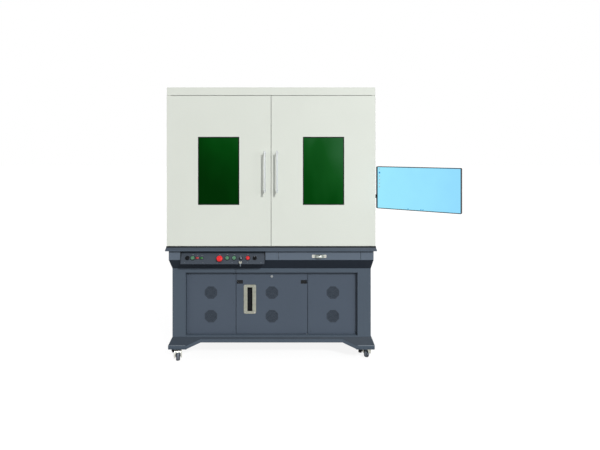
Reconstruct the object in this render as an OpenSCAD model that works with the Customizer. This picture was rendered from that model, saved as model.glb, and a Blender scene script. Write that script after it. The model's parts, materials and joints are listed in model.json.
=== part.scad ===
// Fiber laser engraver: a two-door enclosure with a lifting scan head on a wheeled sheet-metal base,
// with a tilted control console, a drawer, a vented service bay and a monitor on a folding arm.
// X runs to the right, Y to the back and Z up. All sizes are in millimetres.

/* [Enclosure] */
// Width over the two doors
enclosure_w = 1300; // [1100:10:1600]
// Depth from the door faces to the back panel
enclosure_d = 900; // [760:10:1200]
// Height of the whole machine above the floor
machine_h = 1725; // [1600:5:2000]
// Height of the top cover
cover_h = 49; // [30:1:90]
// How much narrower the top cover is than the doors, on each side
cover_inset = 1.5; // [0:0.5:10]
// Width of the turned-in lip under the top cover
cover_lip = 60; // [40:5:120]
// Thickness of the folded enclosure panels
panel_t = 20; // [14:1:40]
// Thickness of the sheet that everything is folded from
sheet = 2; // [1:0.5:3]
// Gap between each door and the pieces above, below and beside it
door_gap = 3; // [2:0.5:8]
// Thickness of the doors
door_t = 20; // [16:1:30]
// Gap between the door backs and the side panels, which the door edges turn in
hinge_room = 9; // [7:1:20]

/* [Windows and handles] */
// Width of each window
window_w = 257; // [180:1:360]
// Height of each window
window_h = 424; // [300:1:560]
// Distance of each window's centre from the middle of the machine
window_x = 326.5; // [250:0.5:380]
// Height of the window centres above the floor
window_z = 1205; // [1150:5:1300]
// Thickness of the window panes
pane_t = 6; // [4:1:8]
// How far a pane reaches behind the sheet around its window
pane_lap = 10; // [6:1:20]
// Distance of each handle from the middle of the machine
handle_x = 38; // [25:1:80]
// Length of the door handles
handle_len = 256; // [160:1:400]
// Radius of the handle bars
handle_r = 6; // [4:0.5:12]
// Distance from the door face to the middle of the handle bar
handle_reach = 38; // [28:1:60]
// Height of the middle of the handles above the floor
handle_z = 1201; // [1100:1:1300]

/* [Table and scan head] */
// Height of the deck that the enclosure stands on
deck_z = 734; // [650:1:850]
// Height of the top of the work table above the deck
table_rise = 66; // [50:1:120]
// Width of the work table
table_w = 600; // [400:10:900]
// Depth of the work table
table_d = 400; // [300:10:560]
// Thickness of the work table
table_t = 25; // [20:1:40]
// Number of T-slots in the work table
slot_count = 6; // [2:1:10]
// Radius of the drilled and tapped corner holes
table_hole_r = 3.4; // [2.5:0.1:6]
// Distance between the corner holes across the machine
table_hole_x = 540; // [300:10:840]
// Distance that the table and the lens are in front of the middle
table_front = 110; // [60:5:200]
// Height of the column above its foot
column_h = 736; // [600:10:800]
// Width of the column
column_w = 120; // [90:2:160]
// Depth of the column
column_d = 100; // [80:2:140]
// Distance of the column's middle behind the middle of the machine
column_y = 180; // [140:5:260]
// Radius of the lead screw
screw_r = 8; // [6:0.5:12]
// Height of the carriage middle above the deck, at rest
carriage_z = 506; // [450:5:560]
// Radius of the scan lens
lens_r = 42; // [30:1:50]
// Length of the scan lens
lens_len = 70; // [40:1:90]

/* [Upper base] */
// Height of the sloped deck edge
deck_h = 28; // [16:1:40]
// How far the deck edge stands out past the doors
deck_out = 8; // [2:1:20]
// Height of the upright lip at the foot of the deck edge
deck_lip = 8; // [4:1:14]
// Height of the apron under the deck
apron_h = 58; // [50:1:90]
// How far the apron is set in from the doors
apron_in = 10; // [4:1:20]
// Height of the undercut below the apron
cove_h = 64; // [30:1:90]
// How far the undercut runs in at the front
cove_front = 45; // [20:1:80]
// How far the undercut runs in at the sides and the back
cove_side = 11; // [6:1:30]
// Left end of the control console
console_left = -562; // [-600:1:-500]
// Right end of the control console
console_right = -41; // [-80:1:-30]
// Lean of the console face from upright, in degrees
console_tilt = 28; // [15:1:40]
// How far the console reaches below the apron
console_drop = 20; // [5:1:30]
// How far the console's foot stands out from the apron
console_out = 26; // [15:1:40]
// Left end of the drawer opening
drawer_left = 44; // [30:1:80]
// Right end of the drawer opening
drawer_right = 560; // [400:1:600]
// Depth of the drawer box
drawer_d = 358; // [200:1:420]
// Gap around the drawer front
drawer_gap = 2; // [1:0.5:4]

/* [Lower base] */
// Height of the cabinet floor
floor_z = 150; // [135:1:200]
// Half the width of the front recess
recess_x = 545; // [450:1:590]
// Height of the rail above the recess
rail_top = 27; // [20:1:60]
// Height of the rail below the recess
rail_bottom = 8; // [5:1:40]
// Depth of the recess
recess_d = 25; // [10:1:40]
// Half the width of the middle door's place in the recess
bay_x = 229; // [180:1:300]
// Gap between the middle door and the panels beside it
seam_gap = 3.2; // [3:0.1:6]
// Distance across the flats of the octagonal vents
vent_af = 80; // [50:1:110]
// Distance of the outer vents from the middle of the machine
vent_x = 390; // [330:1:450]
// Heights of the two rows of vents
vent_z = [271, 422];
// Height of the cabinet lock
lock_z = 527; // [510:1:535]
// Height of the slide latches
latch_z = 491; // [470:1:495]
// Width of the pull plate
pull_w = 78; // [60:1:120]
// Height of the pull plate
pull_h = 185; // [120:1:220]
// Centre of the pull plate
pull_at = [-140, 381];

/* [Foot and casters] */
// How far the skirt flares out
skirt_out = 22; // [8:1:40]
// Height over which the skirt flares
skirt_drop = 47; // [20:1:60]
// Height of the upright lip of the skirt
skirt_lip = 21; // [12:1:30]
// Height that the arch between the feet is cut up by
arch_rise = 34; // [10:1:44]
// Length of each foot beside an arch
foot_len = 118; // [100:1:160]
// Length of the slope from a foot to its arch
arch_slope = 84; // [30:1:120]
// Radius of the caster wheels
wheel_r = 31.5; // [28:0.5:35]
// Width of the caster wheels
wheel_w = 24; // [18:1:32]
// Distance of each caster from the foot's outer faces
caster_in = 50; // [46:1:75]
// Distance from a swivel to its wheel axle
trail = 26; // [15:1:35]
// Turn of the front left caster at rest, in degrees
left_turn = 15; // [-180:1:180]
// Turn of the front right caster at rest, in degrees
right_turn = 158; // [-180:1:180]

/* [Monitor and arm] */
// Width of the monitor
monitor_w = 508; // [380:1:620]
// Height of the monitor
monitor_h = 261; // [220:1:360]
// Thickness of the monitor
monitor_t = 30; // [20:1:50]
// Width of the rim around the screen
bezel = 4.5; // [4:0.5:20]
// Height of the middle of the monitor above the floor
monitor_z = 1103; // [1000:1:1300]
// Turn of the monitor from facing straight to the front, in degrees
monitor_yaw = -31; // [-45:1:0]
// Length of each arm link
link_len = 170; // [150:1:220]
// Direction of the first link, in degrees
link_1_turn = -18; // [-30:1:0]
// Direction of the second link, in degrees
link_2_turn = -71; // [-85:1:-50]
// Distance of the first arm pivot behind the door faces
arm_back = 150; // [120:5:400]
// Distance of the first arm pivot from the side panel
arm_out = 50; // [40:1:80]

/* [Fits] */
// Radial clearance of turning shafts in their bores
fit = 0.06; // [0.02:0.01:0.1]
// Gap between flat faces that slide past each other
slip = 0.3; // [0.2:0.1:0.6]
// Radius of the door pivot pins
pin_r = 4; // [3:0.5:6]

/* [Hidden] */
$fn = 48;
hair = 0.01;
bite = 1;

cream = [0.87, 0.89, 0.84];
slate = [0.34, 0.38, 0.43];
steel = [0.72, 0.74, 0.74];
black = [0.07, 0.08, 0.09];
alloy = [0.66, 0.68, 0.68];
zinc = [0.84, 0.86, 0.82];

front_y = -enclosure_d / 2;
back_y = enclosure_d / 2;
side_x = enclosure_w / 2;
cover_z = machine_h - cover_h;
door_z0 = deck_z + door_gap;
door_z1 = cover_z - door_gap;
door_w = side_x - door_gap / 2;
pivot_x = side_x - door_t * 0.8;
pivot_y = front_y + door_t * 0.45;
wall_y = front_y + door_t + hinge_room;
frame_w = 16;
pin_len = 14;
access_pin_r = 2.5;

slot_w = 10;
slot_depth = 12;
slot_pitch = table_d / slot_count;
table_hole_y = slot_pitch * (slot_count - 2);
table_z = deck_z + table_rise;
foot_t = 10;
column_top = deck_z + foot_t + column_h;
rail_t = 10;
rail_y = column_y - column_d / 2 - rail_t;
carriage_t = 16;
carriage_h = 180;
carriage_mid = deck_z + carriage_z;
carriage_y = rail_y - slip - carriage_t;
head_w = 130;
head_h = 120;
head_z = carriage_mid - head_h / 2 - 10;

apron_z1 = deck_z - deck_h;
apron_z0 = apron_z1 - apron_h;
apron_x = side_x - apron_in;
apron_y0 = front_y + apron_in;
apron_y1 = back_y - apron_in;
base_z1 = apron_z0 - cove_h;
base_x = apron_x - cove_side;
base_y0 = apron_y0 + cove_front;
base_y1 = apron_y1 - cove_side;

console_z0 = apron_z0 - console_drop;
console_z1 = apron_z1 - sheet;
console_y0 = apron_y0 - console_out;
console_back = 20;
face_z = (console_z0 + console_z1) / 2;
face_y = console_face_y(face_z);
button_hole_r = 11.3;
button_r = 9.6;
cap_r = 11.6;
control_up = -5;
estop_up = -12;
selector_x = -102;
socket_x = -521;
estop_x = -319;
key_x = -188;
stop_x = -145;
green_xs = [-488, -273, -230];
rocker_xs = [-460, -433];
key_reach = 30;
ring_r = 13;
wire_r = 1;

slide_w = 16;
drawer_wall = 1.5;
drawer_box_x0 = drawer_left + slide_w;
drawer_box_x1 = drawer_right - slide_w;
drawer_z0 = apron_z0 + 8;
drawer_z1 = drawer_z0 + 38;

recess_z0 = floor_z + rail_bottom;
recess_z1 = base_z1 - rail_top;
panel_y = base_y0 + recess_d;
panel_fold = 15;
door_fold = 12;
mullion_w = 24;
mullion_d = 16;
jamb_d = recess_d + 20;
access_x = bay_x - seam_gap / 2;
access_pivot_x = access_x - 5;
access_pivot_y = panel_y + door_fold / 2;
vent_lap = 3;
latch_x = access_x - 23;
bolt_h = 8;
bolt_travel = 8;

plate_z = 79;
skirt_z = floor_z - skirt_drop;
foot_z = skirt_z - skirt_lip;
skirt_t = 3;
foot_x = base_x + skirt_out;
foot_y0 = base_y0 - skirt_out;
foot_y1 = base_y1 + skirt_out;
caster_x = foot_x - caster_in;
caster_y0 = foot_y0 + caster_in;
caster_y1 = foot_y1 - caster_in;
fork_w = wheel_w + 6;
fork_t = 3;
fork_top = wheel_r * 2 + 6;
axle_r = 5;

arm_x = side_x + arm_out;
arm_y = front_y + arm_back;
arm_t = 20;
arm_z = monitor_z - 80;
arm_pin_r = 8;
elbow = [arm_x + link_len * cos(link_1_turn), arm_y + link_len * sin(link_1_turn)];
wrist = elbow + link_len * [cos(link_2_turn), sin(link_2_turn)];
tilt_z = arm_z + 3 * arm_t + 30;
neck = 45;
tilt_pin_r = 6;
face_off = neck + monitor_t + 4;
screen_mid = wrist + face_off * [sin(monitor_yaw), -cos(monitor_yaw)];
monitor_end = screen_mid + monitor_w / 2 * [cos(monitor_yaw), sin(monitor_yaw)];

// The row's origin is on the floor, under the middle of the whole machine with its monitor.
collar_r = 50;
collar_len = 60;
origin_x = (monitor_end[0] - side_x - deck_out) / 2;
origin_y = (monitor_end[1] + back_y + collar_len) / 2;

// Depth of the console face at a height
function console_face_y(z) = console_y0 + (z - console_z0) * tan(console_tilt);

// ---- Shapes that repeat ----

// A box folded from sheet, with one side left open. The open side is given as a direction.
module tray(size, wall, open) {
    low = [for (i = [0:2]) open[i] < 0 ? -bite : wall];
    high = [for (i = [0:2]) open[i] > 0 ? size[i] + bite : size[i] - wall];
    difference() {
        cube(size);
        translate(low) cube(high - low);
    }
}

// A block between two corners
module block(low, high) {
    translate(low) cube(high - low);
}

// A flat rectangle with round corners, centred
module rounded(w, h, r) {
    square([w - 2 * r, h], center = true);
    square([w, h - 2 * r], center = true);
    for (x = [-1, 1], y = [-1, 1])
        translate([x * (w / 2 - r), y * (h / 2 - r)]) circle(r);
}

// A straight round bar with chamfered ends, along Z
module rod(r, len, edge = 1) {
    rotate_extrude()
        polygon([
            [0, 0], [r - edge, 0], [r, edge],
            [r, len - edge], [r - edge, len], [0, len]
        ]);
}

// A block whose outline changes from one height to another: each outline is [half width, front, back]
module flare(low, z0, high, z1) {
    hull() {
        block([-low[0], low[1], z0], [low[0], low[2], z0 + hair]);
        block([-high[0], high[1], z1 - hair], [high[0], high[2], z1]);
    }
}

// Draws its children, and their mirror image on the other side of the machine
module both_sides() {
    children();
    mirror([1, 0, 0]) children();
}

// Puts a child on the wall of the machine that faces the front, with its Z axis standing out of it
module facing_front() {
    rotate([90, 0, 0]) children();
}

// ---- Enclosure ----

lamp_w = 600;

module top_cover() {
    w = side_x - cover_inset;
    lamp_y = front_y + cover_lip - 20;
    color(cream)
        difference() {
            union() {
                block([-w, front_y, cover_z], [w, back_y, machine_h]);
                // work lamp under the front lip
                along_x(-lamp_w / 2, lamp_w / 2)
                    polygon([
                        [lamp_y - 12, cover_z + bite], [lamp_y + 12, cover_z + bite],
                        [lamp_y + 12, cover_z - 8], [lamp_y + 6, cover_z - 14],
                        [lamp_y - 6, cover_z - 14], [lamp_y - 12, cover_z - 8]
                    ]);
            }
            block(
                [-w + sheet, front_y + sheet, cover_z + sheet],
                [w - sheet, back_y - sheet, machine_h - sheet]
            );
            block(
                [-w + cover_lip, front_y + cover_lip, cover_z - bite],
                [w - cover_lip, back_y - cover_lip, cover_z + 2 * sheet]
            );
        }
}

module side_panels() {
    color(cream)
        both_sides()
            translate([side_x - panel_t, wall_y, deck_z])
                tray([panel_t, back_y - wall_y, cover_z - deck_z], sheet, [-1, 0, 0]);
}

collar_x = 350;
collar_z = cover_z - 116;

module back_panel() {
    w = side_x - panel_t;
    color(cream)
        difference() {
            union() {
                translate([-w, back_y - panel_t, deck_z])
                    tray([2 * w, panel_t, cover_z - deck_z], sheet, [0, -1, 0]);
                translate([collar_x, back_y + collar_len, collar_z])
                    facing_front() cylinder(r = collar_r, h = collar_len + sheet);
                translate([collar_x, back_y + sheet, collar_z])
                    facing_front() cylinder(r = collar_r + 15, h = sheet);
            }
            translate([collar_x, back_y + collar_len + bite, collar_z])
                facing_front() cylinder(r = collar_r - sheet, h = collar_len + panel_t);
        }
}

// One pivot: a disc that the pin stands on
module pivot_pin(r, len, seat) {
    cylinder(r = 2 * r, h = seat);
    cylinder(r = r, h = len + seat);
}

module door_pivots() {
    seat = door_gap - 1;
    reach = pin_len + 1;
    color(steel) {
        both_sides() {
            translate([pivot_x, pivot_y, deck_z]) pivot_pin(pin_r, reach, seat);
            translate([pivot_x, pivot_y, cover_z]) mirror([0, 0, 1]) pivot_pin(pin_r, reach, seat);
        }
        for (end = [0, 1])
            translate([access_pivot_x, access_pivot_y, end ? recess_z1 : recess_z0])
                mirror([0, 0, end])
                    pivot_pin(access_pin_r, pin_len, seam_gap / 2 - 0.6);
    }
}

// The right door. The left one is its mirror image.
module door_leaf() {
    depth = door_t - sheet - 4;
    difference() {
        union() {
            translate([door_gap / 2, front_y, door_z0])
                tray([door_w, door_t, door_z1 - door_z0], sheet, [0, 1, 0]);
            translate([window_x, front_y + sheet + depth, window_z])
                facing_front()
                    linear_extrude(depth)
                        square([window_w + 2 * (pane_lap + frame_w), window_h + 2 * (pane_lap + frame_w)],
                            center = true);
            translate([window_x, front_y + sheet + depth, window_z - window_h / 2 - 130])
                facing_front()
                    linear_extrude(depth)
                        square([window_w + 2 * frame_w, 40], center = true);
        }
        translate([window_x, front_y + door_t, window_z])
            facing_front()
                linear_extrude(door_t + bite)
                    square([window_w, window_h], center = true);
        translate([window_x, front_y + door_t + bite, window_z])
            facing_front()
                linear_extrude(door_t + bite - sheet)
                    square([window_w + 2 * pane_lap, window_h + 2 * pane_lap], center = true);
        translate([window_x, front_y + door_t + bite, window_z - window_h / 2 - 130])
            facing_front()
                linear_extrude(door_t + bite - 2 * sheet)
                    square([window_w + 2 * frame_w - 2 * sheet, 40 - 2 * sheet], center = true);
        translate([pivot_x, pivot_y, door_z0 - bite])
            cylinder(r = pin_r + fit, h = door_z1 - door_z0 + 2 * bite);
    }
}

module window_pane() {
    translate([window_x, front_y + sheet + pane_t, window_z])
        facing_front()
            linear_extrude(pane_t)
                square([window_w + 2 * pane_lap, window_h + 2 * pane_lap], center = true);
}

// A straight bar held off the door by two posts
module door_handle() {
    color(alloy)
        translate([handle_x, front_y, handle_z - handle_len / 2]) {
            translate([0, -handle_reach, 0]) rod(handle_r, handle_len);
            for (z = [12, handle_len - 12])
                translate([0, 0, z]) facing_front() {
                    cylinder(r = handle_r - 1, h = handle_reach);
                    cylinder(r = handle_r + 2, h = 2);
                }
        }
}

module left_door() { color(cream) mirror([1, 0, 0]) door_leaf(); }
module right_door() { color(cream) door_leaf(); }
module left_window() { color([0.06, 0.2, 0.13, 0.7]) mirror([1, 0, 0]) window_pane(); }
module right_window() { color([0.06, 0.2, 0.13, 0.7]) window_pane(); }
module left_handle() { mirror([1, 0, 0]) door_handle(); }
module right_handle() { door_handle(); }

// ---- Table and scan head ----

// Width of the turned-in edge by which the deck stands on the apron
deck_seat = 20;

module table_deck() {
    inner = [side_x - sheet, front_y + sheet, back_y - sheet];
    outer = [side_x + deck_out, front_y - deck_out, back_y + deck_out];
    lip_z = apron_z1 + deck_lip;
    color(slate)
        difference() {
            union() {
                flare(outer, lip_z, [side_x, front_y, back_y], deck_z);
                block([-outer[0], outer[1], apron_z1], [outer[0], outer[2], lip_z + hair]);
            }
            flare(
                [outer[0] - sheet, outer[1] + sheet, outer[2] - sheet], apron_z1 + sheet,
                inner, deck_z - 2 * sheet
            );
            block(
                [-apron_x + deck_seat, apron_y0 + deck_seat, apron_z1 - bite],
                [apron_x - deck_seat, apron_y1 - deck_seat, apron_z1 + 2 * sheet]
            );
        }
}

module work_table() {
    color(alloy) {
        difference() {
            block(
                [-table_w / 2, -table_front - table_d / 2, table_z - table_t],
                [table_w / 2, -table_front + table_d / 2, table_z]
            );
            for (i = [0:slot_count - 1])
                translate([0, -table_front - table_d / 2 + slot_pitch * (i + 0.5), table_z]) {
                    block(
                        [-table_w, -slot_w / 2, -slot_depth],
                        [table_w, slot_w / 2, bite]
                    );
                    block([-table_w, -slot_w, -slot_depth], [table_w, slot_w, -slot_depth / 2]);
                }
            for (x = [-1, 1], y = [-1, 1])
                translate([
                    x * table_hole_x / 2,
                    -table_front + y * table_hole_y / 2,
                    table_z - table_t - bite
                ])
                    cylinder(r = table_hole_r, h = table_t + 2 * bite);
        }
        for (x = [-1, 1])
            translate([x * table_w / 3 - 20, -table_front - table_d / 2 + 20, deck_z])
                tray([40, table_d - 40, table_rise - table_t], 3, [0, -1, 0]);
    }
}

module z_column() {
    color(steel)
        difference() {
            union() {
                block(
                    [-column_w, column_y - column_d / 2 - 20, deck_z],
                    [column_w, column_y + column_d / 2 + 40, deck_z + foot_t]
                );
                block(
                    [-column_w / 2, column_y - column_d / 2, deck_z + foot_t - hair],
                    [column_w / 2, column_y + column_d / 2, column_top]
                );
                for (x = [-1, 1])
                    block(
                        [x * column_w * 0.36 - 8, rail_y, deck_z + foot_t],
                        [x * column_w * 0.36 + 8, rail_y + rail_t + hair, column_top]
                    );
            }
            block(
                [-column_w / 2 + 6, column_y - column_d / 2 + 6, deck_z + foot_t],
                [column_w / 2 - 6, column_y + column_d / 2 - 6, column_top - 12]
            );
            block(
                [-15, column_y - column_d, deck_z + 60],
                [15, column_y, column_top - 40]
            );
            translate([0, column_y, deck_z + foot_t / 2])
                cylinder(r = screw_r + fit, h = column_h + foot_t);
        }
}

module z_carriage() {
    color(alloy)
        difference() {
            union() {
                block(
                    [-column_w / 2 - 5, carriage_y, carriage_mid - carriage_h / 2],
                    [column_w / 2 + 5, carriage_y + carriage_t, carriage_mid + carriage_h / 2]
                );
                block(
                    [-12, carriage_y + carriage_t - hair, carriage_mid - 15],
                    [12, column_y, carriage_mid + 15]
                );
                block([-20, column_y - 20, carriage_mid - 15], [20, column_y + 20, carriage_mid + 15]);
            }
            translate([0, column_y, carriage_mid - 20]) cylinder(r = screw_r + fit, h = 40);
        }
}

handwheel_r = 55;

module lead_screw() {
    bottom = deck_z + foot_t / 2 + slip;
    top = column_top + 45;
    color(steel)
        translate([0, column_y, 0]) {
            translate([0, 0, bottom]) cylinder(r = screw_r, h = top - bottom);
            translate([0, 0, column_top + slip]) cylinder(r = screw_r + 8, h = 20);
            translate([0, 0, top - 18]) {
                cylinder(r = 16, h = 18);
                rotate_extrude() translate([handwheel_r, 9]) circle(6);
                for (i = [0:2])
                    rotate(120 * i) block([0, -5, 5], [handwheel_r, 5, 13]);
                translate([handwheel_r, 0, 9]) rod(7, 50);
            }
        }
}

module scan_head() {
    front = -table_front - head_w / 2;
    back = -table_front + head_w / 2;
    color([0.13, 0.14, 0.16])
        difference() {
            union() {
                translate([0, -table_front, head_z])
                    linear_extrude(head_h) rounded(head_w, head_w, 12);
                block([-45, back - 12, head_z + 15], [45, carriage_y, head_z + head_h - 15]);
            }
            for (i = [0:6], side = [-1, 1])
                translate([side * head_w / 2, -table_front, head_z + 30 + i * 11])
                    cube([8, head_w - 40, 5], center = true);
            block([-40, front - bite, head_z + 35], [40, front + 2, head_z + 85]);
        }
}

module scan_lens() {
    color(black)
        translate([0, -table_front, head_z - lens_len])
            rotate_extrude()
                polygon([
                    [0, 6], [lens_r - 10, 6], [lens_r - 6, 0], [lens_r - 2, 0],
                    [lens_r, 2], [lens_r, 22], [lens_r - 3, 25],
                    [lens_r - 3, lens_len - 12], [lens_r + 6, lens_len - 10],
                    [lens_r + 6, lens_len], [0, lens_len]
                ]);
}

// ---- Upper base ----

module apron() {
    outer = [apron_x, apron_y0, apron_y1];
    foot = [base_x, base_y0, base_y1];
    color(slate)
        difference() {
            union() {
                block([-apron_x, apron_y0, apron_z0], [apron_x, apron_y1, apron_z1]);
                flare(foot, base_z1, outer, apron_z0 + hair);
            }
            difference() {
                block(
                    [-apron_x + sheet, apron_y0 + sheet, apron_z0 + sheet],
                    [apron_x - sheet, apron_y1 - sheet, apron_z1 + bite]
                );
                for (x = [drawer_left - sheet, drawer_right])
                    block([x, apron_y0, apron_z0], [x + sheet, apron_y0 + drawer_d + 30, apron_z1]);
            }
            flare(
                [foot[0] - sheet, foot[1] + sheet, foot[2] - sheet], base_z1 - bite,
                [outer[0] - sheet, outer[1] + sheet, outer[2] - sheet], apron_z0 - sheet
            );
            block(
                [console_left, apron_y0 - bite, apron_z0 - hair],
                [console_right, apron_y0 + console_back, apron_z1 + bite]
            );
            block(
                [drawer_left, apron_y0 - bite, apron_z0 + sheet],
                [drawer_right, apron_y0 + 2 * sheet, apron_z1 + bite]
            );
        }
}

module drawer_slides() {
    color(steel)
        for (x = [drawer_left, drawer_right - slide_w + slip])
            difference() {
                block(
                    [x, apron_y0 + 12, drawer_z0 + 8],
                    [x + slide_w - slip, apron_y0 + drawer_d + 20, drawer_z0 + 30]
                );
                block(
                    [x + 4, apron_y0, drawer_z0 + 12],
                    [x + slide_w - slip - 4, apron_y0 + drawer_d + 40, drawer_z0 + 26]
                );
            }
}

module drawer() {
    color(slate)
        union() {
            block(
                [drawer_left + drawer_gap, apron_y0, apron_z0 + drawer_gap],
                [drawer_right - drawer_gap, apron_y0 + sheet, apron_z1 - drawer_gap]
            );
            translate([drawer_box_x0, apron_y0 + sheet - hair, drawer_z0])
                tray(
                    [drawer_box_x1 - drawer_box_x0, drawer_d, drawer_z1 - drawer_z0],
                    drawer_wall, [0, 0, 1]
                );
        }
}

grip_at = [(drawer_left + drawer_right) / 2 - 2, (apron_z0 + apron_z1) / 2 - 14];
grip_r = 32;
grip_sink = 15;
grip_h = 19;
ear_w = 90;
ear_h = 19;

// The bulging hood of the pull, smaller by an inset and longer below
module grip_form(inset, below) {
    intersection() {
        translate([0, grip_sink, 0]) sphere(r = grip_r - inset);
        translate([-grip_r, 0, 0]) rotate([0, 90, 0]) cylinder(r = grip_h - inset, h = 2 * grip_r);
        block([-grip_r, -grip_r, -below], [grip_r, -inset, grip_r]);
    }
}

module drawer_pull() {
    color(zinc)
        translate([grip_at[0], apron_y0, grip_at[1]])
            difference() {
                union() {
                    translate([0, 0, ear_h / 2 - 1])
                        facing_front() linear_extrude(sheet) rounded(ear_w, ear_h, 5);
                    grip_form(0, 0);
                }
                grip_form(sheet, bite);
                for (x = [-1, 1])
                    translate([x * (ear_w / 2 - 9), bite, ear_h / 2 - 1])
                        facing_front() cylinder(r = 2.2, h = 3 * sheet);
            }
}

// ---- Control console ----

// Outline of the console, seen from the side. The inner outline is one sheet smaller.
function console_outline(inset) =
    let (
        foot = console_z0 + inset,
        top = console_z1 + (inset > 0 ? bite : 0),
        skin = inset / cos(console_tilt),
        step = apron_y0 - 1 - inset,
        back = apron_y0 + console_back - slip + (inset > 0 ? bite : 0)
    )
    [
        [console_face_y(top) + skin, top],
        [console_face_y(foot) + skin, foot],
        [step, foot],
        [step, apron_z0 + inset + slip],
        [back, apron_z0 + inset + slip],
        [back, top]
    ];

// Extrudes an outline drawn in depth and height along the width of the machine
module along_x(x0, x1) {
    translate([x0, 0, 0])
        rotate([90, 0, 90])
            linear_extrude(x1 - x0) children();
}

// Puts a child on the console face at x, with its Z axis standing out of the face
module on_console(x, up = control_up) {
    translate([x, face_y, face_z])
        rotate([90 - console_tilt, 0, 0])
            translate([0, up, 0]) children();
}

module control_console() {
    color(slate)
        difference() {
            along_x(console_left + slip, console_right - slip) polygon(console_outline(0));
            along_x(console_left + sheet, console_right - sheet) polygon(console_outline(sheet));
            for (x = concat(green_xs, [stop_x, selector_x, socket_x]))
                on_console(x) translate([0, 0, -10]) cylinder(r = button_hole_r + 0.5, h = 20);
            on_console(estop_x, estop_up)
                translate([0, 0, -10]) cylinder(r = button_hole_r + 0.5, h = 20);
            on_console(key_x) translate([0, 0, -10]) cylinder(r = 9, h = 20);
            for (x = rocker_xs)
                on_console(x) cube([rocker_l + 4, rocker_w + 4, 20], center = true);
        }
}

bezel_h = 3;
cup_h = 5.5;
barrel_h = 9.6;

// A bezel ring with its barrel behind the panel. A seat is the bore for a wide lens cap.
module button_ring(r, hole, h = bezel_h, seat = 0) {
    difference() {
        union() {
            rotate_extrude()
                polygon([[hole, 0], [r, 0], [r, h - 1], [r - 1, h], [hole, h]]);
            translate([0, 0, -barrel_h]) cylinder(r = hole + 1.5, h = barrel_h);
        }
        translate([0, 0, 1 - barrel_h]) cylinder(r = hole, h = 40);
        if (seat > 0) translate([0, 0, 0.5]) cylinder(r = seat, h = 40);
    }
}

rocker_w = 11;
rocker_l = 16;

module button_bezels() {
    color(black) {
        for (x = concat(green_xs, [stop_x]))
            on_console(x) button_ring(14.5, button_r + slip, cup_h, cap_r + slip);
        on_console(selector_x) button_ring(13.5, button_r + slip);
        on_console(estop_x, estop_up) button_ring(15, button_r + slip);
        on_console(key_x) button_ring(11.5, 6 + slip);
        on_console(socket_x)
            union() {
                rod(12, 9);
                translate([0, 0, -barrel_h]) cylinder(r = button_hole_r, h = barrel_h + 1);
            }
        for (x = rocker_xs)
            on_console(x)
                difference() {
                    union() {
                        translate([0, 0, 1]) cube([rocker_l + 6, rocker_w + 5, 2], center = true);
                        translate([0, 0, -5.5]) cube([rocker_l + 3.6, rocker_w + 3, 11.5], center = true);
                    }
                    cube([rocker_l + 2, rocker_w + 2 * slip, 18], center = true);
                }
    }
}

estop_r = 18.5;

module estop_button() {
    color([0.85, 0.12, 0.13])
        on_console(estop_x, estop_up) {
            translate([0, 0, 9])
                rotate_extrude()
                    polygon([
                        [0, 0], [estop_r - 3, 0], [estop_r, 3], [estop_r, 7],
                        [estop_r - 2, 10.5], [estop_r - 7, 12.5], [0, 13]
                    ]);
            translate([0, 0, -3]) cylinder(r = button_r, h = 13);
        }
}

// A round push button that stands a little out of its ring
module push_button(x) {
    on_console(x)
        translate([0, 0, -5])
            rotate_extrude()
                polygon([
                    [0, 0], [button_r, 0], [button_r, 9], [cap_r, 9], [cap_r, 11.5],
                    [cap_r - 1, 12.5], [0, 13.5]
                ]);
}

module lamp_button() { color([0.35, 0.55, 0.42]) push_button(green_xs[0]); }
module start_button() { color([0.35, 0.55, 0.42]) push_button(green_xs[1]); }
module focus_button() { color([0.35, 0.55, 0.42]) push_button(green_xs[2]); }
module stop_button() { color([0.85, 0.12, 0.13]) push_button(stop_x); }

rocker_axis = -3;
rocker_rest = 7;

// A two-way rocker, resting with one end pressed
module rocker(x) {
    on_console(x)
        translate([0, 0, rocker_axis])
            rotate([rocker_rest, 0, 90])
                translate([-rocker_w / 2, 0, 0])
                    rotate([90, 0, 90])
                        linear_extrude(rocker_w)
                            polygon([
                                [-rocker_l / 2, 6], [0, 7.5], [rocker_l / 2, 6],
                                [rocker_l / 2 - 2, -5], [-rocker_l / 2 + 2, -5]
                            ]);
}

module red_rocker() { color([0.75, 0.1, 0.12]) rocker(rocker_xs[0]); }
module green_rocker() { color([0.1, 0.5, 0.15]) rocker(rocker_xs[1]); }

bow_w = 16;
spare_r = 9.5;
bow_t = 2.2;
eye_r = 1.35;

module key() {
    color(zinc)
        on_console(key_x) {
            translate([0, 0, -8]) cylinder(r = 6, h = 8 + bezel_h + 1);
            difference() {
                translate([-bow_t / 2, 0, 0])
                    rotate([90, 0, 90])
                        linear_extrude(bow_t)
                            union() {
                                translate([-4, 0]) square([8, key_reach - 14]);
                                translate([0, key_reach - 4]) rounded(bow_w, 20, 5);
                            }
                translate([-bow_w, 0, key_reach]) rotate([0, 90, 0]) cylinder(r = eye_r, h = 2 * bow_w);
            }
        }
}

key_eye = [
    key_x,
    face_y - key_reach * cos(console_tilt) + control_up * sin(console_tilt),
    face_z + key_reach * sin(console_tilt) + control_up * cos(console_tilt)
];

// A split ring through the bow, with the spare key hanging from it
module key_tag() {
    color(zinc)
        translate(key_eye) {
            translate([0, 0, -ring_r])
                facing_front() rotate_extrude() translate([ring_r, 0]) circle(wire_r, $fn = 16);
            translate([0, bow_t / 2, -2 * ring_r - spare_r + 2])
                facing_front()
                    linear_extrude(bow_t)
                        difference() {
                            union() {
                                circle(spare_r);
                                translate([-3, -spare_r - 16]) square([6, 18]);
                            }
                            translate([0, spare_r - 4]) circle(2.2);
                        }
        }
}

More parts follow.
